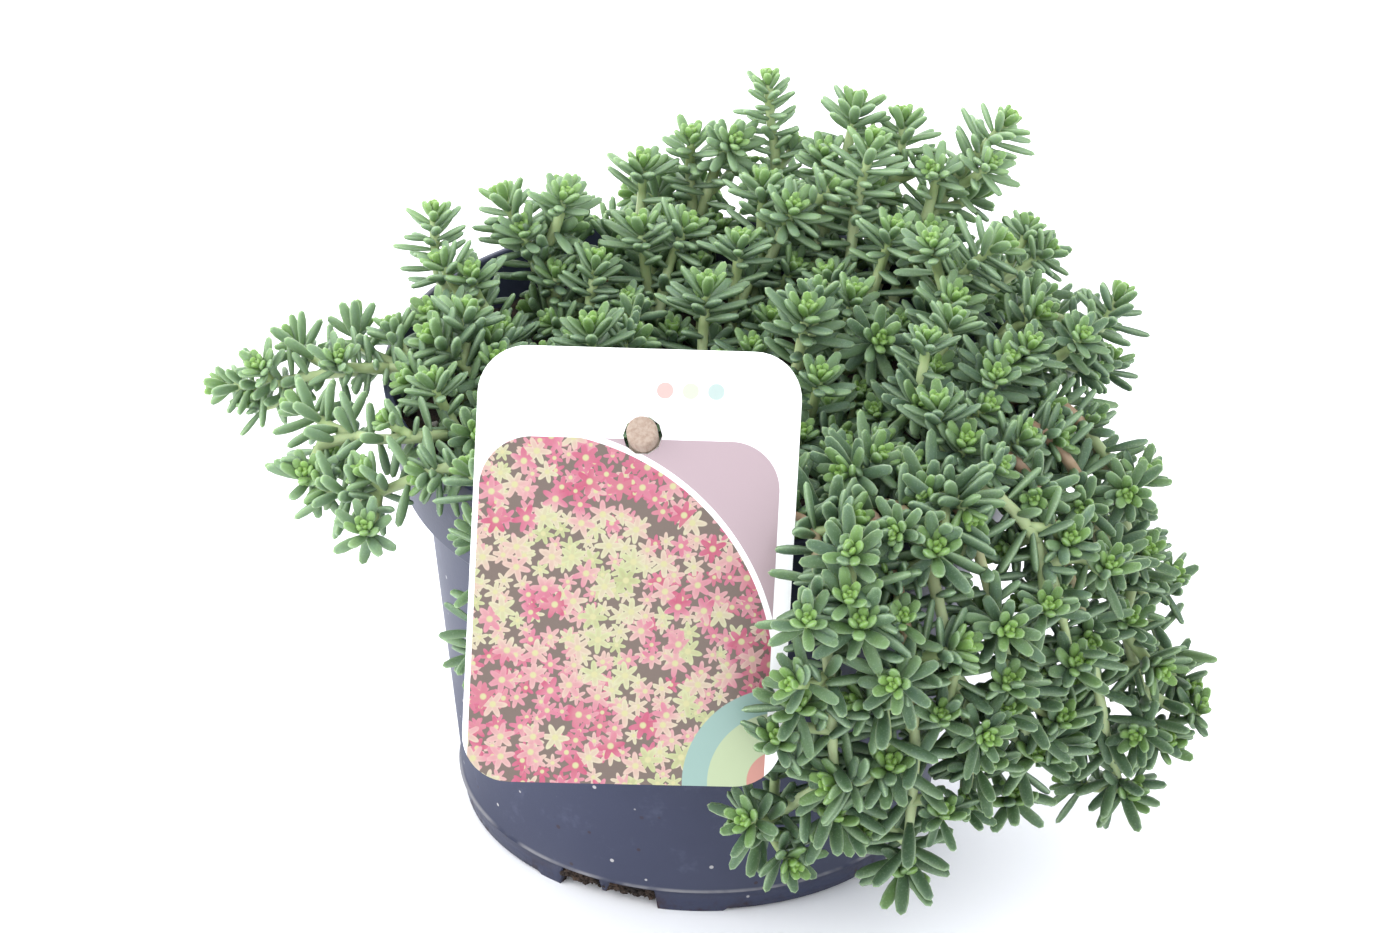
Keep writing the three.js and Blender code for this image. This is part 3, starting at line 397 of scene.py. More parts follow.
def fillNotch(bm):
    notch, crumbs = pot["notch"], pot["crumbs"]
    chance = random.Random(3)
    for _ in range(crumbs["count"]):
        angle = math.radians(notch["middle"] + notch["half"] * chance.uniform(-1.02, 1.02))
        far = pot["baseRadius"] - chance.uniform(0.1, pot["skirt"])
        size = chance.uniform(*crumbs["size"])
        height = notch["height"] + crumbs["over"] - crumbs["deep"] * chance.random()
        place = Vector((far * math.sin(angle), -far * math.cos(angle), height))
        addCrumb(bm, place, (size * 1.3, size, size * 0.8), 1, chance)


def makePot():
    bead, wall, skirt, rings, soft = (pot[key] for key in ("bead", "wall", "skirt", "rings", "round"))

    def outer(height):
        return wallRadius(height), height

    bm = spunBody([
        (0, pot["floorUnder"]),
        (wallRadius(pot["floorUnder"]) - skirt, pot["floorUnder"]),
        (pot["baseRadius"] - skirt, 0),
        (pot["baseRadius"], 0),
        outer(rings["foot"]),
        outer(bead["height"] - bead["half"]),
        (wallRadius(bead["height"]) + bead["out"], bead["height"]),
        outer(bead["height"] + bead["half"]),
        *map(outer, rings["body"]),
        (pot["bodyRadius"], pot["collarFoot"]),
        (pot["collarRadius"], pot["collarFoot"]),
        (collarAt(rings["collar"]), rings["collar"]),
        (pot["rimRadius"], pot["height"]),
        (pot["rimRadius"] - wall, pot["height"]),
        (pot["collarRadius"] - wall, pot["collarFoot"] + wall),
        (pot["bodyRadius"] - wall, pot["collarFoot"] + wall),
        (wallRadius(pot["floorTop"]) - wall, pot["floorTop"]),
        (0, pot["floorTop"]),
    ], pot["steps"])
    bevelRings(bm, [
        (pot["rimRadius"], pot["height"], soft["rim"]),
        (pot["rimRadius"] - wall, pot["height"], soft["rimInside"]),
        (pot["collarRadius"], pot["collarFoot"], soft["collar"]),
        (pot["bodyRadius"], pot["collarFoot"], soft["neck"]),
        (pot["baseRadius"], 0, soft["base"]),
    ])
    cutNotches(bm)
    fillNotch(bm)
    finishPiece(bm, "potBody", [potFinish(), peatFinish()], ["pot"])


makePot()
print("pot made")


# Soil

def soilHeight(x, y):
    share = min(1, math.hypot(x, y) / pot["rimRadius"])
    lumps = math.sin(x * 0.31 + 1) * math.cos(y * 0.27) + 0.6 * math.sin(x * 0.13 - y * 0.19)
    return soil["middle"] + (soil["edge"] - soil["middle"]) * share * share + soil["rough"] * lumps


def scattered(chance, within):
    far, turn = within * math.sqrt(chance.random()), chance.uniform(0, math.tau)
    return far * math.cos(turn), far * math.sin(turn)


def barkFinish():
    dark, light = soil["bark"]
    finish = Finish("bark", Roughness=0.85)
    finish.on("Base Color", finish.mix(finish.noise(1.6, 4, 0.7), dark, light))
    finish.bump(finish.noise(0.5, 3), 0.3, 0.8)
    return finish


def perliteFinish():
    pale, gray = soil["perlite"]
    finish = Finish("perlite", Roughness=0.8)
    finish.on("Base Color", finish.mix(finish.noise(0.9, 3) * 0.5, pale, gray))
    finish.bump(finish.noise(0.4, 2), 0.2, 0.8)
    return finish


def makeSoil():
    chance = random.Random(5)
    inside = pot["wall"] + soil["clear"]
    bottom, level = pot["floorTop"] + soil["bed"], soil["middle"] + 5
    top = collarAt(soil["edge"]) - inside
    rings = int(top / soil["ringGap"])
    bm = spunBody([
        (0, bottom),
        (wallRadius(pot["floorTop"]) - inside, bottom),
        (pot["bodyRadius"] - inside, pot["collarFoot"] + inside),
        (pot["collarRadius"] - inside, pot["collarFoot"] + inside),
        *((top * k / rings, level) for k in range(rings, -1, -1)),
    ], soil["steps"])
    for vert in bm.verts:
        x, y, z = vert.co
        if z > level - 1:
            clod = noise.fractal(Vector((x, y, 0)) * 0.35, 1.0, 2.0, 4)
            vert.co.z = soilHeight(x, y) + soil["clods"] * clod
    for kind, (count, sizes, flat) in enumerate(soil["crumbs"]):
        for _ in range(count):
            x, y = scattered(chance, soil["within"])
            size = chance.uniform(*sizes)
            place = Vector((x, y, soilHeight(x, y) + 0.2 * size * flat))
            addCrumb(bm, place, (size, size * chance.uniform(0.4, 0.8), size * flat * 0.6), kind, chance)
    finishPiece(bm, "peatSoil", [peatFinish(), barkFinish(), perliteFinish()], ["soil"])


makeSoil()
print("soil made")


# Card

card = {
    "hole": (-11.3, -57, 110),  # the middle of its hole; all that follows is measured from there
    "lean": 18, "yaw": 6.6, "roll": -3,
    "left": -29.2, "right": 27.6, "top": 15.4, "bottom": -63.2, "thickness": 0.8,
    "print": {"left": -28.3, "right": 24.6, "top": -0.6, "corner": 9},
    "flowers": ((3.6, 3), (4.4, 17), (5.6, 41)),  # mm between them in each layer, and how far it is shifted
    "petalCount": 6, "petalReach": (0.34, 0.13),
    "petals": [(0, (150, 158, 108)), (0.2, (166, 170, 128)), (0.36, (176, 168, 142)), (0.52, (180, 142, 138)),
               (0.68, (174, 100, 120)), (0.84, (160, 62, 92)), (1, (178, 120, 128))],
    # middle, radius and ink of the discs in the print, and then of the dots above it
    "discs": ((-21, -46, 47.5, "white"), (-21, -46, 46.5, "meadow"),
              (27, -62, 17, "teal"), (27, -62, 12.5, "lime"), (27, -62, 5.5, "coral")),
    "dots": ((3.5, 8.2, 1.5, "coral"), (8, 8.2, 1.5, "lime"), (12.5, 8.2, 1.5, "teal")),
    "inks": {"white": (252, 252, 253), "mauve": (160, 141, 146), "teal": (124, 150, 142), "lime": (154, 166, 132),
             "coral": (170, 118, 106), "ground": (96, 82, 74), "heart": (170, 166, 122), "shade": (140, 100, 92),
             "fibre": (140, 132, 132)},
}


def cardMatrix():
    turn = Matrix.Rotation(math.radians(card["yaw"]), 4, "Z")
    tilt = Matrix.Rotation(math.radians(90 - card["lean"]), 4, "X")
    return Matrix.Translation(Vector(card["hole"])) @ turn @ tilt @ Matrix.Rotation(math.radians(card["roll"]), 4, "Z")


def flowers(finish, at, size, shift):
    # one flower in each cell: its petals, its heart, the cell's own number, and the shade along its petals
    moved = finish.vector("ADD", at, (shift, shift * 0.7, 0))
    cells = {"Vector": moved, "Scale": 1 / size, "Randomness": 0.85}

    def cell(output):
        return finish.node("ShaderNodeTexVoronoi", {"voronoi_dimensions": "2D"}, cells, output)

    far, own = cell("Distance"), finish.axis("X", cell("Color"))
    off = finish.vector("SUBTRACT", moved, cell("Position"))
    angle = finish.maths("ARCTAN2", finish.axis("Y", off), finish.axis("X", off))
    least, wave = card["petalReach"]
    reach = least + wave * finish.maths("COSINE", angle * card["petalCount"] + own * 12)
    inside = reach - far
    return finish.ease(inside, -0.02, 0.03), finish.ease(far, 0.13, 0.07), own, finish.ease(inside, 0.02, 0.2)


def cardFinish():
    finish = Finish("printedCard", Specular_IOR_Level=0.45)
    at = finish.laidOn(cardMatrix(), (0.001, 0.001, 0.001))
    x, y, z = (finish.axis(letter, at) for letter in "XYZ")
    flat = finish.node("ShaderNodeCombineXYZ", sockets={0: x, 1: y}, output="Vector")
    inks = dict(card["inks"])

    def disc(cx, cy, radius):
        return finish.ease(finish.vector("DISTANCE", flat, (cx, cy, 0), "Value"), radius + 0.08, radius - 0.08)

    beds = finish.ease(finish.noise(16, 2), 0.36, 0.64) * 0.45  # beds of one color run into the next
    meadow = inks["ground"]
    for size, shift in card["flowers"]:
        inside, heart, own, shade = flowers(finish, at, size, shift)
        petal = finish.mix(shade * 0.2, finish.ramp(own * 0.55 + beds, card["petals"]), inks["shade"])
        meadow = finish.mix(inside, meadow, finish.mix(heart, petal, inks["heart"]))
    inks["meadow"] = meadow
    inked = inks["mauve"]
    for cx, cy, radius, ink in card["discs"]:
        inked = finish.mix(disc(cx, cy, radius), inked, inks[ink])

    # the print is a rectangle with round corners, which runs off the card's foot
    left, right, top, corner = card["print"].values()
    across = abs(x - (left + right) / 2) - ((right - left) / 2 - corner)
    up = y - (top - corner)
    far = sum(finish.maths("MAXIMUM", side, 0) ** 2 for side in (across, up))
    color = finish.mix(finish.ease(far, corner ** 2 + 1, corner ** 2 - 1), inks["white"], inked)
    for cx, cy, radius, ink in card["dots"]:
        color = finish.mix(disc(cx, cy, radius) * 0.8, color, inks[ink])
    paper = finish.noise(0.4, 2)
    color = finish.mix(paper * 0.04, color, inks["fibre"])
    front = finish.ease(z, card["thickness"] / 2 - 0.1, card["thickness"] / 2 - 0.04)
    finish.on("Base Color", finish.mix(front, inks["white"], color))
    finish.on("Roughness", 0.6 - 0.22 * front)
    finish.bump(paper, 0.02, 0.3)
    return finish


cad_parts["card"].data.materials.clear()
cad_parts["card"].data.materials.append(cardFinish().material)
print("card printed")


# Peg

peg = {
    "root": (-9, -20, 74), "past": 3.4, "radius": 2.75, "round": 0.7, "steps": 28,
    "pale": (158, 141, 127), "grain": (139, 118, 103), "fibre": (0.001, 0.001, 0.009),
}


def pegMatrix():
    root, hole = Vector(peg["root"]), Vector(card["hole"])
    turn = (hole - root).to_track_quat("Z", "Y").to_matrix().to_4x4()
    return Matrix.Translation(root) @ turn, (hole - root).length + peg["past"]


def pegFinish():
    finish = Finish("planedWood", Roughness=0.75)
    along = finish.laidOn(pegMatrix()[0], peg["fibre"])
    fibre = finish.node("ShaderNodeTexNoise", sockets={
        "Vector": along, "Scale": 1.6, "Detail": 4, "Roughness": 0.65}, output="Fac")
    finish.on("Base Color", finish.mix(finish.ease(fibre, 0.35, 0.7), peg["pale"], peg["grain"]))
    finish.bump(fibre, 0.25, 0.6)
    return finish


def makePeg():
    matrix, length = pegMatrix()
    bm = bmesh.new()
    bmesh.ops.create_cone(bm, cap_ends=True, segments=peg["steps"], radius1=peg["radius"], radius2=peg["radius"],
                          depth=length)
    bmesh.ops.translate(bm, vec=(0, 0, length / 2), verts=bm.verts)
    bevelRings(bm, [(peg["radius"], length, peg["round"])], 4)
    bmesh.ops.transform(bm, matrix=matrix, verts=bm.verts)
    finishPiece(bm, "woodenPeg", [pegFinish()], ["peg"])


makePeg()
print("peg made")


# Plant: each stem stands in its place in the soil and carries shoots, in the same way as the CAD model.
# After a stem's place comes a row for each shoot: the share of the first shoot's length where it leaves it
# (0 for the first, which rises from the soil), its leaf length, its whorls at the head, the mm between them
# (0 for the usual), and the points it passes.

stems = {
    "stem_left_far": [(-43, -4),
        [0, 7.5, 5, 3.4, (-52, -6, 91), (-60, -7, 92.2), (-70, -5, 89.5), (-82, -3, 85.5), (-91, -1, 83.5)],
        [0.58, 7.5, 2, 0, (-72, -1, 90), (-76.8, 4, 91)],
        [0.46, 7, 2, 0, (-67, -8, 93), (-67.5, -9, 95.5)],
        [0.42, 8, 2, 0, (-64, 1, 92), (-65.5, 6, 93)]],
    "stem_left_mid": [(-38, -21),
        [0, 8.5, 3, 2.8, (-45, -28, 91), (-51.5, -32, 93), (-60, -29, 90.5), (-68, -21, 88), (-75, -14, 88.5)],
        [0.72, 9, 2, 0, (-70, -25, 86), (-70.5, -28, 83)],
        [0.52, 6, 1, 0, (-57.8, -31.5, 96)]],
    "stem_left_low": [(-33, -31),
        [0, 9, 4, 3, (-41, -38, 91), (-47, -42, 92.5), (-56, -39, 86.5), (-60, -38, 84), (-65, -36, 83),
         (-70.5, -33, 83.5)],
        [0.74, 8, 1, 0, (-61, -38.5, 89)]],
    "stem_left_top": [(-35, -10),
        [0, 10, 3, 0, (-41, -11, 92), (-47, -9, 97), (-50.5, -9, 100.5)],
        [0.5, 8, 2, 0, (-50, -14, 93), (-54.5, -15, 95)]],
    "stem_left_shoulder": [(-40, 8),
        [0, 8, 3, 0, (-46, 8, 90), (-51.5, 6, 97)]],
    "stem_left_upright": [(-43, 22),
        [0, 7, 5, 2.6, (-49, 24, 90), (-51.5, 26, 96), (-52.3, 29, 106)]],
    "stem_left_rear": [(-34, 12),
        [0, 7.5, 2, 0, (-44, 15, 92), (-50.5, 18, 101)],
        [0.45, 7.5, 2, 0, (-43, 15, 95), (-44.6, 15, 100.5)]],
    "stem_rear_bright": [(-26, 20),
        [0, 8.5, 5, 3, (-31, 26, 91), (-35, 31, 98), (-40, 36, 106)],
        [0.5, 9, 2, 0, (-31, 31, 98), (-27, 34, 101)]],
    "stem_rear_small": [(-21, 33),
        [0, 7, 3, 2.4, (-26, 40, 91), (-28.5, 44, 97), (-29.3, 45, 103)]],
    "stem_rear_star": [(-12, 36),
        [0, 8.5, 2, 0, (-14, 46, 91), (-14, 50, 98), (-14, 51, 105)]],
    "stem_rear_pair": [(-3, 43),
        [0, 8, 4, 2.6, (-4, 51, 93), (-5, 54, 101), (-5, 54, 110)],
        [0.5, 7.5, 3, 0, (0, 53, 104), (3.2, 50, 111)]],
    "stem_mid_left": [(-10, 20),
        [0, 8.5, 3, 0, (-12, 26, 92), (-13.8, 29, 104)],
        [0.4, 8.5, 3, 0, (-8, 28, 97), (-5, 30, 104)]],
    "stem_mid_column": [(-19, 12),
        [0, 7.5, 4, 2.6, (-22.5, 17, 91), (-21.5, 20, 102)]],
    "stem_behind_card": [(-19, -8),
        [0, 9, 3, 0, (-21, -7, 92), (-21.8, -5, 101.5)],
        [0.5, 7, 2, 0, (-16, -4, 95), (-13, -2, 98)]],
    "stem_middle": [(-1, 1),
        [0, 9.5, 3, 0, (-1.5, 5, 93), (-1, 8, 103.5)]],
    "stem_mid_right": [(8, 26),
        [0, 8, 3, 0, (8.5, 33, 94), (8.8, 40, 108.5)],
        [0.5, 8, 3, 0, (12.5, 33, 101), (14.4, 32, 107.5)]],
    "stem_mid_low": [(3, 16),
        [0, 7.5, 3, 0, (4, 21, 94), (4.8, 24, 104.5)]],
    "stem_rear_tall": [(8, 41),
        [0, 6.5, 6, 2.7, (10.5, 49, 93), (11.2, 52, 104), (9.6, 56, 114), (9, 58, 121)]],
    "stem_rear_fan": [(17, 37),
        [0, 8.5, 3, 0, (20.5, 45, 94), (23.5, 49, 106), (26, 56, 117)],
        [0.42, 7.5, 3, 0, (20, 48, 104), (20, 48, 110.5)]],
    "stem_rear_slim": [(25, 40),
        [0, 7.5, 3, 2.6, (30, 47, 95), (34, 50.5, 107), (34.8, 54, 116)]],
    "stem_pale_upright": [(22, 25),
        [0, 8.5, 6, 3.3, (25, 31, 93), (26.3, 36, 106), (29, 40, 118.5)]],
    "stem_rear_leaning": [(32, 30),
        [0, 8, 4, 2.8, (38, 38, 97), (43, 43, 105), (48, 47, 111), (54.6, 50, 118)],
        [0.5, 7.5, 2, 0, (41, 41, 109), (40.4, 40, 112)]],
    "stem_right_inner": [(25, 17),
        [0, 8, 3, 0, (29, 21, 94), (33, 24, 108)]],
    "stem_right_bright": [(37, 11),
        [0, 8.5, 4, 2.8, (42, 12.5, 98), (47, 14, 106), (53.3, 16, 110.6)]],
    "stem_right_twin": [(43, 20),
        [0, 6.5, 3, 0, (50, 21.5, 95), (57, 23, 101), (62.4, 25, 104)],
        [0.7, 6.5, 2, 0, (57, 26, 105), (58, 28, 107.5)]],
    "stem_right_edge": [(45, 7),
        [0, 8, 2, 0, (53, 7, 95), (60, 4, 102.5)],
        [0.6, 7, 2, 0, (57, 10, 99.5), (60, 13.5, 101.5)]],
    "stem_right_reach": [(47, -2),
        [0, 8, 6, 3.1, (55, 0, 93), (64.7, 2, 94.2), (71.3, 7, 98), (75, 11, 104)],
        [0.6, 7, 2, 0, (68, 6.5, 91), (70.8, 9.5, 87.8)]],
    "stem_centre_right": [(20, 2),
        [0, 8.5, 3, 0, (23.5, 4.5, 93), (26, 6, 104)],
        [0.4, 8.5, 3, 0, (28, 0, 95), (30.6, -6, 101.5)]],
    "stem_shoulder": [(35, 2),
        [0, 8.5, 3, 0, (39.5, 2, 94), (44.2, 2, 106)]],
    "stem_right_cluster": [(42, -11),
        [0, 9.5, 3, 0, (48, -13, 93), (53.5, -15, 103.5)],
        [0.6, 7.5, 2, 0, (50.5, -19, 99), (51.5, -21, 103.5)],
        [0.6, 7.5, 2, 0, (55, -11, 99), (57.8, -11, 104.5)]],
    "stem_right_pair": [(31, -13),
        [0, 8, 3, 0, (36, -14, 92), (40.5, -16, 101.5)],
        [0.45, 8, 2, 0, (36.5, -21, 95), (38, -24.5, 99.5)]],
    "stem_front_small": [(16, -15),
        [0, 8.5, 2, 0, (18.5, -17, 91), (19.9, -19, 101)]],
    "stem_right_front": [(37, -20),
        [0, 8, 2, 0, (43.5, -24, 92), (49.7, -26, 100)]],
    "stem_front_bright": [(13, -3),
        [0, 9.5, 3, 0, (15.5, -4.5, 93), (17.2, -7, 107.5)],
        [0.5, 7.5, 2, 0, (18.5, -2, 101), (18.5, 2, 106.5)]],
    "stem_front_spray": [(22, -31),
        [0, 9.5, 3, 0, (26, -39, 91.5), (30.5, -43, 99)],
        [0.62, 9.5, 2, 0, (26.5, -45, 96), (24.5, -48, 98.5)],
        [0.55, 8, 2, 0, (34, -41, 93), (36.3, -41.5, 96.5)]],
    "trail_right_rear": [(50, -7),
        [0, 8.5, 3, 3, (56, -9, 92), (62.5, -10.5, 92.5), (70, -12, 86), (76, -13, 72), (80, -15, 58),
         (85, -16, 45),
         (88.5, -17, 36)],
        [0.36, 9, 2, 0, (73.5, -13.5, 82), (76, -14.5, 80)],
        [0.62, 8, 2, 0, (82, -11, 57), (83.5, -9, 54)]],
    "trail_right_outer": [(48, -16),
        [0, 9, 3, 3, (54, -19, 92), (60.5, -22, 92.5), (67.5, -24, 84), (73, -25.5, 68), (78, -27, 52),
         (82, -28, 40),
         (84.5, -28, 32)],
        [0.52, 8.5, 2, 0, (77.5, -23.5, 71), (78.3, -23, 69)],
        [0.72, 8.5, 2, 0, (82, -30, 49.5), (84, -32, 49)],
        [0.84, 8.5, 2, 0, (87, -24.5, 36.5), (89.5, -23.5, 35)]],
    "trail_right_middle": [(44, -25),
        [0, 9.5, 3, 3, (50, -29, 91.8), (56, -33.5, 92.5), (62, -37, 83), (68, -38, 66), (72.5, -36, 48),
         (75.5, -33, 33),
         (78.5, -31, 22.5)],
        [0.22, 8, 2, 0, (55, -30, 94.5), (57, -30, 96.5)],
        [0.78, 9, 1, 0, (72, -32, 36), (70, -31, 32)]],
    "trail_front_right": [(39, -32),
        [0, 10, 3, 0, (45, -37.5, 91.8), (51, -43, 92.5), (58, -47, 87), (63, -48.5, 76), (66.3, -51, 63)],
        [0.2, 9.5, 3, 0, (45, -35.5, 95), (46, -37, 99)],
        [0.33, 7, 2, 0, (51.8, -41.6, 97)],
        [0.55, 9.5, 2, 0, (62, -46, 87), (63.4, -45, 84.5)],
        [0.66, 9, 2, 0, (67, -44, 80), (70, -43.5, 78)],
        [0.6, 9, 2, 0, (60.5, -51, 80), (60.6, -54, 77)]],
    "trail_front_outer": [(33, -36),
        [0, 10.5, 2, 0, (39, -43.5, 92.8), (45, -50, 92.8), (50, -56, 83), (54, -58, 69), (58, -56.5, 56),
         (60.3, -53.5, 45)],
        [0.22, 10.5, 3, 0, (43, -48, 95), (46.5, -54, 94)],
        [0.3, 10.5, 2, 0, (42.5, -54.5, 94), (41, -60, 91.5)],
        [0.62, 9, 2, 0, (54, -61, 68), (54.2, -62, 66)],
        [0.78, 9, 2, 0, (61.5, -54, 54), (63.5, -53, 51.5)],
        [0.86, 10, 2, 0, (58.5, -52, 40), (57.3, -50, 33.5)]],
    "trail_front_inner": [(27.5, -41),
        [0, 9, 2, 0, (32, -49, 92.8), (37.5, -56.5, 92.6), (41.5, -62, 82), (45, -64.5, 69), (48, -63, 57),
         (50, -61, 47.5)],
        [0.7, 8.5, 2, 0, (50, -61, 59), (52.5, -61, 58)],
        [0.7, 8.5, 2, 0, (44.5, -66, 64), (43.5, -67.5, 62)],
        [0.9, 6.5, 2, 0, (49, -58, 42), (48.8, -57, 36)]],
    "trail_front_long": [(23, -40),
        [0, 11, 3, 3.2, (28, -50, 91.8), (31.5, -58.5, 92.2), (35, -66, 83), (37.5, -69.5, 69), (38.8, -68, 53),
         (38.8, -65, 38), (38.3, -61, 24.5)],
        [0.42, 8, 1, 0, (34.5, -68, 86), (34.8, -69, 83)],
        [0.8, 7.5, 2, 0, (41.5, -66, 42), (43, -66, 40)]],
    "trail_front_bright": [(17, -44),
        [0, 11.5, 3, 0, (21.5, -52.5, 91.8), (25, -61, 92), (28, -68, 86), (31, -71.5, 76), (33, -72.5, 64),
         (34, -71, 53)],
        [0.42, 9, 1, 0, (26, -69, 91), (25.6, -71.5, 88.5)],
        [0.52, 11, 3, 0, (28, -71.5, 85), (27.8, -72.7, 84)]],
    "trail_front_card": [(11, -45),
        [0, 10.5, 3, 2.9, (15.5, -53, 91.8), (19.5, -60, 92.3), (20.5, -67, 87), (22.5, -72.5, 76),
         (23.5, -73.7, 64),
         (24.5, -72.8, 52), (25, -70.5, 42)],
        [0.42, 8.5, 2, 0, (19.5, -72.5, 87), (18.8, -75, 85.5)],
        [0.62, 10, 2, 0, (20, -74.5, 70), (18.4, -74.7, 67.5)],
        [0.74, 9, 2, 0, (18, -75, 62), (15.4, -75, 60)],
        [0.86, 10, 2, 0, (18, -70, 43), (12.5, -66, 34.5)],
        [0.93, 9, 1, 0, (28, -69.5, 38), (29.8, -67.5, 35.5)]],
    "trail_behind_card": [(4, -46),
        [0, 7.5, 1, 0, (6.5, -52.5, 91), (8, -58, 92)]],
    "trail_card_left": [(-28, -39),
        [0, 7.5, 3, 3, (-32.5, -47.5, 92), (-36, -54, 92.2), (-38.5, -59, 83), (-39.5, -58.5, 71),
         (-39, -55.5, 61.5)],
        [0.5, 8, 2, 0, (-40, -51, 95), (-42, -49, 97)]],
    "stem_front_left": [(-25, -24),
        [0, 9, 3, 0, (-29, -27, 91), (-31, -30, 99)]],
    "stem_front_left_low": [(-17, -38),
        [0, 8.5, 2, 0, (-21.5, -43, 91), (-25, -46, 97)]],
    "stem_front_middle": [(4, -25),
        [0, 9, 3, 0, (5.5, -30, 91), (6, -34, 99.5)]],
    "trail_rear_left": [(-6, 49),
        [0, 8.5, 3, 2.8, (-8, 55.5, 92.3), (-9.5, 63.5, 92.3), (-10.5, 71, 84), (-11, 75.5, 74)]],
    "trail_rear_middle": [(15, 48),
        [0, 8.5, 3, 2.8, (17, 54.5, 92.3), (19, 62, 92.5), (20.5, 71, 84), (21.5, 77.5, 73)],
        [0.55, 8.5, 2, 0, (14, 70.5, 88), (11, 75, 86)]],
    "trail_rear_right": [(30, 41),
        [0, 8.5, 3, 2.8, (34.5, 46.5, 92.3), (39, 54, 92.5), (43, 62, 84), (45.5, 67.5, 74)],
        [0.55, 8.5, 2, 0, (36.5, 63, 89), (33, 67, 88)]],
    "trail_right_behind": [(42, 29),
        [0, 8.5, 3, 2.8, (47.5, 32.5, 92.3), (55, 37.5, 92.5), (62, 42, 84), (66, 45, 74)],
        [0.5, 8.5, 2, 0, (59, 46, 91), (59.5, 50.5, 89.5)]],
}

# two long leaves that stand out alone: the stem, where along it, the tip and the width
singleLeaves = [
    ("trail_right_rear", 0.86, (94.7, -28, 49), 2.8),
    ("trail_right_rear", 0.28, (75.4, -1, 86.5), 2.8),
]

leaf = {
    "round": 8, "rings": 6,  # faces round and along a leaf
    "curls": (0.02, 0.07, 0.12, -0.04),  # how far the tip rises, as a share of the length
    "flat": 0.72,  # thickness as a share of the width
    "width": (0.85, 0.175),  # mm, and a share of the length
    "perTurn": 4.8, "turns": 1.4,  # leaves in each turn of the spiral, and turns for each whorl
    "usualStep": 0.21,  # mm between whorls, for each mm of leaf length
    "share": (0.2, 0.42, 0.68, 0.88, 1, 1, 0.98, 0.94, 0.9),  # length from the bud down, by turn
    "spread": (8, 24, 44, 62, 74, 80, 82, 82, 82),  # degrees off the stem, by turn
    "bud": 2,  # turns that count as the bud, for the next two
    "vary": ((0.94, 1.04), (0.82, 1.16)),  # shortest and longest share of the length, in the bud and below
    "stray": (3, 14),  # degrees that a leaf strays, in the bud and below it
    "lift": 0.14,  # how much the lower leaves turn up
    "apart": (1.5, 2.3),  # mm of stem for each leaf below the head, above the rim and below it
    "bare": 84,  # height below which a stem in the pot has no leaves
    "touch": 0.25,  # mm that leaves may press into each other without another try
    "press": (1.0, 0.7),  # and the most of all, in the head and below it
    "old": (70, 94, 68),
    "fresh": (91, 116, 80),
    "blue": (90, 114, 96),
    "young": (112, 148, 58),
    "bloomAndRimLight": (164, 184, 156),  # the pale waxy bloom on the rim and tip, partly a painted rim light
    "paintedHaze": (148, 176, 134),  # painted light: leaves painted paler on the far left and on top, as if in haze
    "hazeShare": (0.36, 0.46),  # and their share of that painted light
    "deep": (54, 78, 50),  # painted shade: the lower, hanging shoots are painted darker and greener
    # ways that a leaf tries for room: degrees round the stem, degrees up and share of its length
    "trials": ((0, 0, 1), (0, 12, 1), (13, 0, 1), (-13, 0, 1), (0, -12, 0.95), (16, 14, 0.95), (-16, 14, 0.95),
               (0, 26, 0.9), (26, 6, 0.85), (-26, 6, 0.85), (0, -24, 0.8), (0, 10, 0.7), (18, -10, 0.65),
               (-18, -10, 0.65)),
}

stem = {
    "round": 8, "step": 2.4,  # faces round it, and mm between its rings
    "radius": 1.2, "side": 1.05, "tip": 0.8,  # of a main stem, of a side shoot, and of either at its tip
    "rootZ": 73, "neckZ": 83,
    "hook": (2.0, 2.8, 2.6),  # a hanging tip turns up to the light: mm on, out and up
    "sideways": 0.2,  # how much of the outward turn also goes to the sides
    "young": 16, "old": 70,  # mm from the tip that are green, and that aren't yet bark
    "sprig": (166, 184, 134),
    "bark": (162, 134, 110),
    "streak": (120, 96, 80),
}

# short side shoots that fill the cushion between the drawn ones, wherever a head has room
filler = {
    "every": 2.2, "from": 4, "long": (6, 12), "apart": (7, 10.5), "room": 2.4,
    "leaf": 0.9, "whorls": 2, "rise": 0.45, "out": 0.35,
    "heart": (0, 0, 66),
    "near": ((9, 1), (15, 5)),  # how near drawn shoots are, and mm that a head stays inside their reach
    "hanging": -3.5, "under": 80,  # the same mm on stems that hang lower than this
    "level": 7, "beside": 1.5,  # mm inside their reach to the sides at its own height
    "cardFree": -40,  # none stands before the card higher than this
    # short shoots out of bare soil: tries, how far out, heights and leaf lengths
    "sown": 400, "within": 42, "tall": (9, 15), "sownLeaf": (6.5, 8),
}

golden = math.radians(137.5)  # from one leaf to the next round a stem
sampled = 2.5  # mm between the points where a stem is known to be


def throughPoints(points, pieces=14):
    # the same uniform Catmull-Rom curve that the CAD model runs its stems along
    points = [Vector(p) for p in points]
    ends = [2 * points[0] - points[1]] + points + [2 * points[-1] - points[-2]]
    line = []
    for before, start, end, after in zip(ends, ends[1:], ends[2:], ends[3:]):
        first, second = start + (end - before) / 6, end - (after - start) / 6
        line += geometry.interpolate_bezier(start, first, second, end, pieces)[:-1]
    return line + [points[-1]]


def withHook(points):
    last, before = Vector(points[-1]), Vector(points[-2])
    axis = (last - before).normalized()
    if axis.z > -0.35:
        return points
    on, out, lift = stem["hook"]
    away = Vector((last.x * stem["sideways"], last.y, 0)).normalized()
    bend = last + axis * on * 0.8 + away * out * 0.45
    return points + [bend, last + axis * on + away * out + Vector((0, 0, lift))]


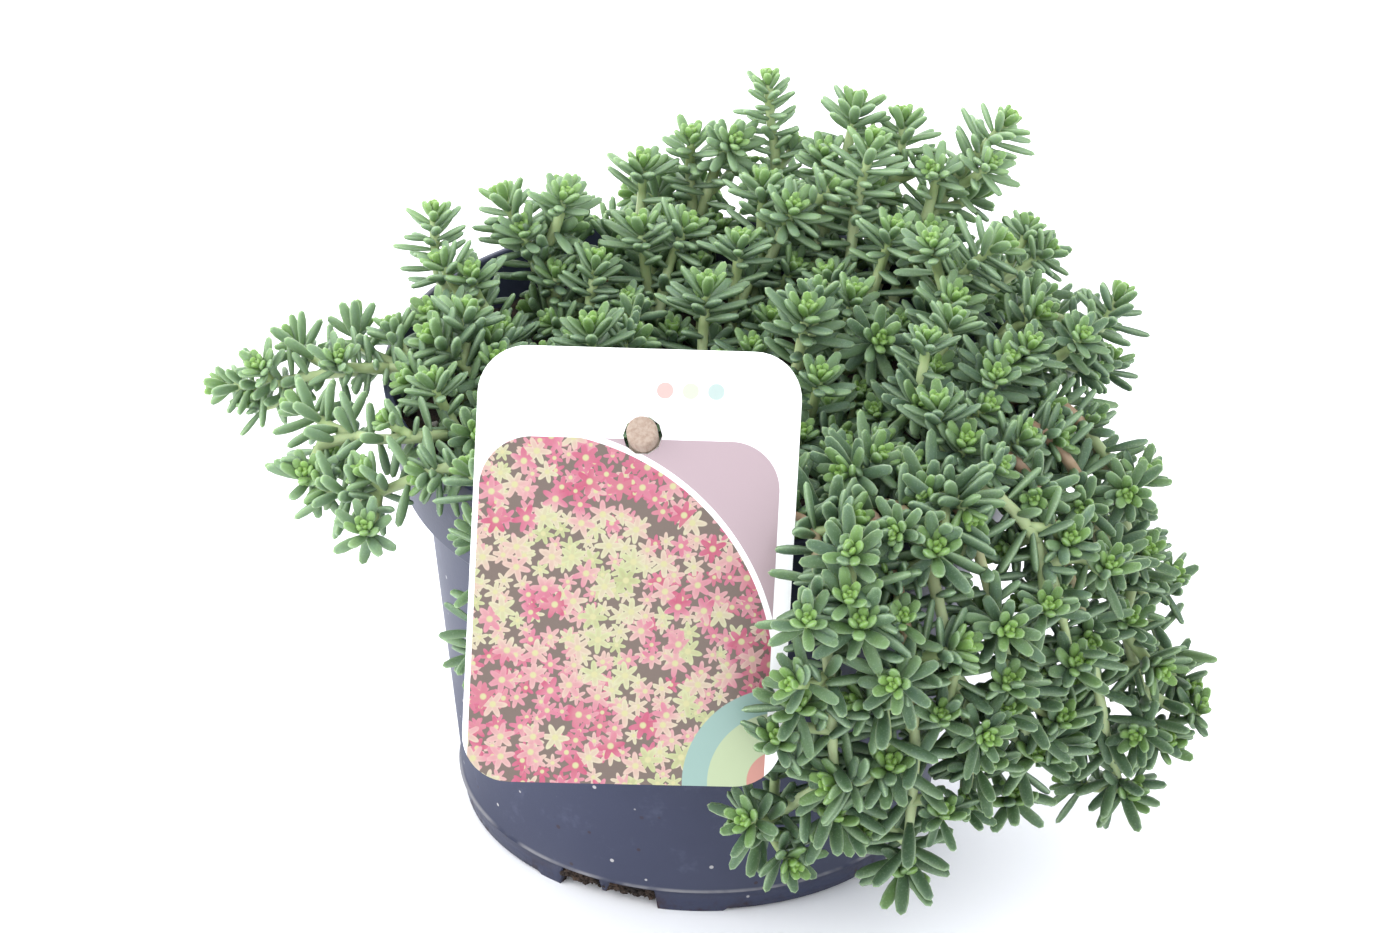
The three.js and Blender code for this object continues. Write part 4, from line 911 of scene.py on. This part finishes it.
class Path:
    def __init__(self, points):
        self.line = throughPoints(withHook(points))
        self.marks = [0]
        for a, b in zip(self.line, self.line[1:]):
            self.marks.append(self.marks[-1] + (b - a).length)
        self.length = self.marks[-1]

    def at(self, distance):
        distance = min(max(distance, 0), self.length - 1e-6)
        i = max(k for k, mark in enumerate(self.marks[:-1]) if mark <= distance)
        share = (distance - self.marks[i]) / (self.marks[i + 1] - self.marks[i])
        return self.line[i].lerp(self.line[i + 1], share), (self.line[i + 1] - self.line[i]).normalized()


def leafTemplates():
    # plump blunt leaves, narrower at their base, one unit long and wide, with their top a little flatter
    templates, rims = [], []
    for curl in leaf["curls"]:
        bm = bmesh.new()
        bmesh.ops.create_uvsphere(bm, u_segments=leaf["round"], v_segments=leaf["rings"], radius=1)
        bmesh.ops.rotate(bm, cent=(0, 0, 0), matrix=Matrix.Rotation(math.pi / 2, 3, "Y"), verts=bm.verts)
        rim = []
        for vert in bm.verts:
            along = (1 + vert.co.x) / 2
            around = math.hypot(vert.co.y, vert.co.z)
            isEnd = around <= 0.01
            full = 0 if isEnd else around ** -0.38
            taper = 0.62 + 0.38 * min(1, along / 0.62)
            side, over = vert.co.y * full * taper, vert.co.z * full * taper
            rim.append(float(along > 0.5) if isEnd else (abs(vert.co.y) / max(around, 0.2)) ** 2)
            lift = curl * (2.2 * along * along - 1.2 * along ** 4)
            vert.co = Vector((along, 0.5 * side, 0.5 * over * (0.78 if over > 0 else 1.0) + lift))
        bmesh.ops.recalc_face_normals(bm, faces=bm.faces)
        mesh = bpy.data.meshes.new("leafTemplate")
        bm.to_mesh(mesh)
        bm.free()
        templates.append(mesh)
        rims.append(rim)
    return templates, rims


class Room:
    # remembers where leaves already are, as a few balls along each one
    def __init__(self, cell=4.0, sibling=0.9):
        self.cell, self.cells = cell, {}
        self.sibling = sibling  # mm that leaves of one shoot may be nearer to each other

    def key(self, p):
        return tuple(int(math.floor(v / self.cell)) for v in p)

    def gap(self, balls, owner):
        least = 9.0
        for p, r in balls:
            i, j, k = self.key(p)
            for a in (i - 1, i, i + 1):
                for b in (j - 1, j, j + 1):
                    for c in (k - 1, k, k + 1):
                        for q, s, whose in self.cells.get((a, b, c), ()):
                            reach = (p - q).length - r - s + (self.sibling if whose == owner else 0)
                            least = min(least, reach)
        return least

    def take(self, balls, owner):
        for p, r in balls:
            self.cells.setdefault(self.key(p), []).append((p, r, owner))


cardInverse = cardMatrix().inverted()
pegInverse, pegLength = pegMatrix()[0].inverted(), pegMatrix()[1]
lowest, highest = cadBox[0] * 1000, cadBox[1] * 1000


def clearOfRest(p, r):
    # a ball is inside the model's box and outside the pot, the soil, the card and the peg
    if any(p[i] - r < lowest[i] + 0.05 or p[i] + r > highest[i] - 0.05 for i in range(3)):
        return False
    far = math.hypot(p.x, p.y)
    if p.z - r < pot["height"]:
        outer = wallRadius(p.z) if p.z + r < pot["collarFoot"] else collarAt(max(p.z + r, pot["collarFoot"]))
        inner = collarAt(min(p.z, pot["height"])) - pot["wall"]
        if far - r < outer + 0.1 and (far + r > inner or p.z - r < soilHeight(p.x, p.y) - 0.6):
            return False
    q = cardInverse @ p
    onCard = card["left"] - r <= q.x <= card["right"] + r and card["bottom"] - r <= q.y <= card["top"] + r
    if onCard and abs(q.z) < card["thickness"] / 2 + r + 0.1:
        return False
    s = pegInverse @ p
    return not (0 < s.z < pegLength + r and math.hypot(s.x, s.y) < peg["radius"] + r)


def between(values, at):
    low = min(int(at), len(values) - 2)
    return values[low] + (values[low + 1] - values[low]) * min(at - low, 1)


def squareTo(axis, side):
    return (side - axis * side.dot(axis)).normalized()


def fromColumns(*columns):
    return Matrix([[*(column[i] for column in columns)] for i in range(3)] + [[0, 0, 0, 1]])


def leafMatrix(base, heading, across, length, width):
    over = heading.cross(across).normalized()
    return fromColumns(heading * length, across * width, over * width * leaf["flat"], base)


def ballsAlong(base, heading, length, width):
    places = ((0.4, 0.4), (0.66, 0.44), (0.9, 0.36))
    return [(base + heading * (share * length), width * size) for share, size in places]


def addStem(bm, path, radius, start):
    # a tube: one closed ring, drawn out along the path
    count = max(4, int(path.length / stem["step"]))
    face = bmesh.ops.create_circle(bm, cap_ends=True, segments=stem["round"], radius=1)["verts"]
    shares, previous = [0.0] * len(face), None
    side = Vector((1, 0, 0))
    for k in range(count + 1):
        share = k / count
        place, heading = path.at(share * (path.length - 0.4))
        side = squareTo(heading, side)
        size = radius + (stem["tip"] - radius) * share * share
        bumpy = 1 + 0.07 * math.sin(5.1 * k + start)
        matrix = fromColumns(side * size * bumpy, heading.cross(side) * size * bumpy, heading * size, place)
        if k:
            top = [f for f in bm.faces if all(v in face for v in f.verts)][:1]
            made = bmesh.ops.extrude_face_region(bm, geom=top, use_keep_orig=(k == 1))["geom"]
            face = [item for item in made if isinstance(item, bmesh.types.BMVert)]
            bmesh.ops.transform(bm, verts=face, matrix=matrix @ previous.inverted())
            shares += [share] * len(face)
        else:
            bmesh.ops.transform(bm, verts=face, matrix=matrix)
        previous = matrix
    return shares


def shootOf(start, length, whorls, step, *points):
    step = step or leaf["usualStep"] * length
    return {"from": start, "leaf": length, "whorls": whorls, "step": step, "points": points}


class Growth:
    # one stem's mesh while it grows, with the numbers that its finish reads
    def __init__(self, number, name, root, *rows):
        self.name, self.number, self.owner = name, number, number * 10
        self.chance = random.Random(11 + number)
        self.bm = bmesh.new()
        self.layers = {"young": [], "rim": [], "tone": []}
        self.leaves = 0
        self.root, self.shoots = root, [shootOf(*row) for row in rows]
        main = Path([(*root, stem["rootZ"]), (*root, stem["neckZ"]), *self.shoots[0]["points"]])
        self.paths = [main]
        for shoot in self.shoots[1:]:
            self.paths.append(Path([main.at(shoot["from"] * main.length)[0], *shoot["points"]]))
        for k, path in enumerate(self.paths):
            self.tube(path, stem["side"] if k else stem["radius"], self.owner + k)

    def tube(self, path, radius, start):
        made = bmesh.new()
        shares = addStem(made, path, radius, start)
        for face in made.faces:
            face.material_index = 1
        bmesh.ops.recalc_face_normals(made, faces=made.faces)
        mesh = bpy.data.meshes.new("part")
        made.to_mesh(mesh)
        made.free()
        self.bm.from_mesh(mesh)
        bpy.data.meshes.remove(mesh)
        self.layers["rim"] += [0.0] * len(shares)
        for layer, reach in (("young", stem["young"]), ("tone", stem["old"])):
            self.layers[layer] += [max(0, 1 - (1 - share) * path.length / reach) for share in shares]

    def addLeaf(self, matrix, young, shape=None):
        shape = self.chance.randrange(len(templates)) if shape is None else shape
        copy = templates[shape].copy()
        copy.transform(matrix)
        self.bm.from_mesh(copy)
        bpy.data.meshes.remove(copy)
        self.layers["young"] += [young] * len(rims[shape])
        self.layers["rim"] += rims[shape]
        self.layers["tone"] += [self.chance.random()] * len(rims[shape])
        self.leaves += 1


def leafPlaces(path, shoot, main):
    # distance from the tip, and how many turns of the spiral down that is, for each leaf from the bud outwards
    bottom = path.length - 1.0
    places, down, turn = [], 0.1, 0.0
    while turn < leaf["turns"] * (shoot["whorls"] + 1) and down < bottom:
        places.append((down, turn))
        turn += 1 / leaf["perTurn"]
        down += shoot["step"] * (0.45 + 0.12 * turn) / leaf["perTurn"] / leaf["turns"]
    while down < bottom:
        place, _ = path.at(path.length - down)
        down += leaf["apart"][place.z < pot["height"] - 2]
        turn += 0.14
        if main and place.z < leaf["bare"] and math.hypot(place.x, place.y) < pot["collarRadius"]:
            break
        places.append((down, turn))
    return places


def growShoot(growth, path, shoot, owner, main=False):
    chance = growth.chance
    angle = chance.uniform(0, math.tau)
    head = leaf["turns"] * (shoot["whorls"] + 1)
    for down, turn in leafPlaces(path, shoot, main):
        angle += golden
        base, axis = path.at(path.length - down)
        side = squareTo(axis, Vector((0.31, 0.94, 0.13)))
        outward = side * math.cos(angle) + axis.cross(side) * math.sin(angle)
        low = turn > leaf["bud"]
        full = shoot["leaf"] * between(leaf["share"], turn) * chance.uniform(*leaf["vary"][low])
        width = leaf["width"][0] + leaf["width"][1] * shoot["leaf"]
        width *= 0.5 + 0.5 * min(1, full / (0.75 * shoot["leaf"]))
        stray = leaf["stray"][low]
        off = chance.uniform(-stray, stray)
        askew = Matrix.Rotation(math.radians(chance.uniform(-stray, stray)), 3, axis)
        best = None
        for swing, lift, share in leaf["trials"]:
            spread = math.radians(between(leaf["spread"], turn) - lift + off)
            swung = Matrix.Rotation(math.radians(swing), 3, axis) @ askew @ outward
            heading = axis * math.cos(spread) + swung * math.sin(spread)
            heading = (heading + Vector((0, 0, leaf["lift"] * min(turn, 4) / 4))).normalized()
            across = axis.cross(heading)
            if across.length < 0.05:
                across = axis.cross(swung)
            across.normalize()
            length = full * share
            balls = ballsAlong(base, heading, length, width)
            if not all(clearOfRest(p, r) for p, r in balls):
                continue
            gap = room.gap(balls, owner) if turn > 1.2 else 1
            if best is None or gap > best[0]:
                best = (gap, heading, across, length, balls)
            if gap > -leaf["touch"]:
                break
        if best is None or best[0] < -leaf["press"][turn > head]:
            continue
        _, heading, across, length, balls = best
        matrix = leafMatrix(base - axis * 0.1 * width, heading, across, length, width)
        growth.addLeaf(matrix, max(0.0, 1 - turn / 2.8))
        room.take(balls, owner)


def fillerFits(base, middle, tip, heads, drawn):
    # a side shoot's head has room, and stays inside the outline of the drawn shoots
    if any((tip - head).length < apart for head, apart in heads):
        return False
    heart = Vector(filler["heart"])

    def inReach(near, inside):
        reach = max(((p - heart).length for p in drawn if (p - tip).length < near), default=0)
        return (tip - heart).length < reach - (filler["hanging"] if base.z < filler["under"] else inside)

    if not any(inReach(near, inside) for near, inside in filler["near"]):
        return False
    level = (abs(p.x) for p in drawn if abs(p.z - tip.z) < filler["level"] and p.x * tip.x > 0)
    if abs(tip.x) > max(level, default=0) - filler["beside"]:
        return False
    shown = cardInverse @ tip
    if shown.z > 0 and shown.y > filler["cardFree"] and card["left"] - 3 < shown.x < card["right"] + 4:
        return False
    return all(clearOfRest(p, r) for p, r in ((tip, filler["room"]), (middle, 1.2), (tip.lerp(middle, 0.5), 1.5)))


def sideFillers(growth, heads, drawn):
    made = []
    for path, shoot in zip(growth.paths, growth.shoots):
        distance = filler["from"]
        turn = growth.chance.uniform(0, math.tau)
        while distance < path.length - 4:
            distance += filler["every"]
            turn += golden
            base, axis = path.at(distance)
            if base.z < leaf["bare"] + 1 and math.hypot(base.x, base.y) < pot["collarRadius"]:
                continue
            side = Vector((0.31, 0.94, 0.13)).cross(axis).normalized()
            outward = side * math.cos(turn) + axis.cross(side) * math.sin(turn)
            away = Vector((base.x, base.y, 0)).normalized() * filler["out"]
            heading = (outward + axis * 0.3 + away + Vector((0, 0, filler["rise"]))).normalized()
            length = growth.chance.uniform(*filler["long"])
            tip = base + heading * length + Vector((0, 0, 0.15 * length))
            middle = base + heading * (0.55 * length)
            if fillerFits(base, middle, tip, heads, drawn):
                heads.append((tip, growth.chance.uniform(*filler["apart"])))
                twig = shootOf(0, shoot["leaf"] * filler["leaf"], filler["whorls"], 0)
                made.append((Path([base, middle, tip]), twig))
    return made


def addFillers(growths):
    heads = [(path.at(path.length - 1.5)[0], growth.chance.uniform(*filler["apart"]))
             for growth in growths for path in growth.paths]
    drawn = [path.at(k * sampled)[0] for growth in growths for path in growth.paths
             for k in range(int(path.length / sampled) + 1)]
    made = [sideFillers(growth, heads, drawn) for growth in growths]
    chance = random.Random(9)
    for _ in range(filler["sown"]):
        foot = Vector((*scattered(chance, filler["within"]), 0))
        foot.z = soilHeight(foot.x, foot.y)
        tip = Vector((foot.x * 1.08, foot.y * 1.08, foot.z + chance.uniform(*filler["tall"])))
        if any((tip - head).length < 0.9 * apart for head, apart in heads) or not clearOfRest(tip, filler["room"]):
            continue
        heads.append((tip, chance.uniform(*filler["apart"])))
        nearest = min(growths, key=lambda growth: (Vector((*growth.root, foot.z)) - foot).length)
        twig = shootOf(0, chance.uniform(*filler["sownLeaf"]), filler["whorls"], 0)
        made[nearest.number].append((Path([foot - Vector((0, 0, 3)), foot.lerp(tip, 0.5), tip]), twig))
    return made


def leafFinish():
    finish = Finish("succulentLeaf", Subsurface_Weight=0.5, Subsurface_Scale=0.002, Specular_IOR_Level=0.28)
    finish.shader.inputs["Subsurface Radius"].default_value = (0.9, 1.0, 0.4)
    young, rim, tone = (finish.attribute(name) for name in ("young", "rim", "tone"))
    x, y, z = (finish.axis(letter) * 1000 for letter in "XYZ")
    patchy = finish.noise(5, 3)
    color = finish.mix(finish.ease(tone, 0.2, 0.9), leaf["old"], leaf["fresh"])
    color = finish.mix(finish.ease(patchy, 0.4, 0.75) * 0.7, color, leaf["blue"])
    # painted shade: darker and greener towards the bottom, for the shade low on the plant
    color = finish.mix(finish.ease(z, 92, 45) * 0.5, color, leaf["deep"])
    # painted light: paler towards the far left and the top, as if in haze
    onLeft, onTop = leaf["hazeShare"]
    paintedHaze = finish.ease(x, -22, -80) * onLeft + finish.ease(z + 0.4 * y, 98, 132) * onTop
    color = finish.mix(paintedHaze, color, leaf["paintedHaze"])
    color = finish.mix(young ** 0.8 * 0.95, color, leaf["young"])
    papillae = finish.noise(0.35, 1)
    # the pale waxy bloom on a leaf's sides and tip is partly a painted rim light
    bloomAndRimLight = rim ** 2.5 * (0.3 + 0.3 * papillae) * (1 - 0.6 * young)
    color = finish.mix(bloomAndRimLight + 0.10 * finish.ease(papillae, 0.55, 0.7), color, leaf["bloomAndRimLight"])
    finish.on("Base Color", color)
    finish.on("Roughness", 0.44 + 0.2 * patchy)
    finish.bump(papillae + 0.5 * finish.noise(1.1, 2), 0.08, 0.5)
    return finish


def stemFinish():
    finish = Finish("succulentStem", Roughness=0.5, Subsurface_Weight=0.08, Subsurface_Scale=0.0015)
    young, tone = finish.attribute("young"), finish.attribute("tone")
    streaks = finish.noise(1.2, 3)
    color = finish.mix(finish.ease(tone, 0.0, 0.5), stem["bark"], stem["sprig"])
    color = finish.mix(young * 0.4, color, leaf["young"])
    finish.on("Base Color", finish.mix(streaks * 0.18, color, stem["streak"]))
    finish.bump(streaks, 0.12, 0.6)
    return finish


def growPlant():
    growths = [Growth(number, name, *rows) for number, (name, rows) in enumerate(stems.items())]
    for growth in growths:
        for path in growth.paths:
            room.take([(path.at(k * sampled)[0], 0.9) for k in range(1, int(path.length / sampled))], growth.owner)
    named = {growth.name: growth for growth in growths}
    for name, start, tip, width in singleLeaves:
        growth = named[name]
        base, _ = growth.paths[0].at(start * growth.paths[0].length)
        heading, length = (Vector(tip) - base).normalized(), (Vector(tip) - base).length - 0.1
        across = heading.cross(Vector((0, 0, 1))).normalized()
        growth.addLeaf(leafMatrix(base, heading, across, length, width), 0.15, 0)
        room.take(ballsAlong(base, heading, length, width), growth.owner)
    for growth in growths:
        for path, shoot in zip(growth.paths, growth.shoots):
            growShoot(growth, path, shoot, growth.owner, path is growth.paths[0])
    fillers = addFillers(growths)
    for growth, extra in zip(growths, fillers):
        for k, (path, shoot) in enumerate(extra):
            growth.tube(path, stem["side"], growth.number + k)
            growShoot(growth, path, shoot, growth.number * 100 + k + 7)
    greens = [leafFinish(), stemFinish()]
    for growth in growths:
        finishPiece(growth.bm, growth.name + "_leafy", greens, [growth.name], growth.layers)
    print("plant grown:", len(growths), "stems,", sum(map(len, fillers)), "side shoots between,",
          sum(growth.leaves for growth in growths), "leaves")


room = Room()
templates, rims = leafTemplates()
growPlant()
for template in templates:
    bpy.data.meshes.remove(template)
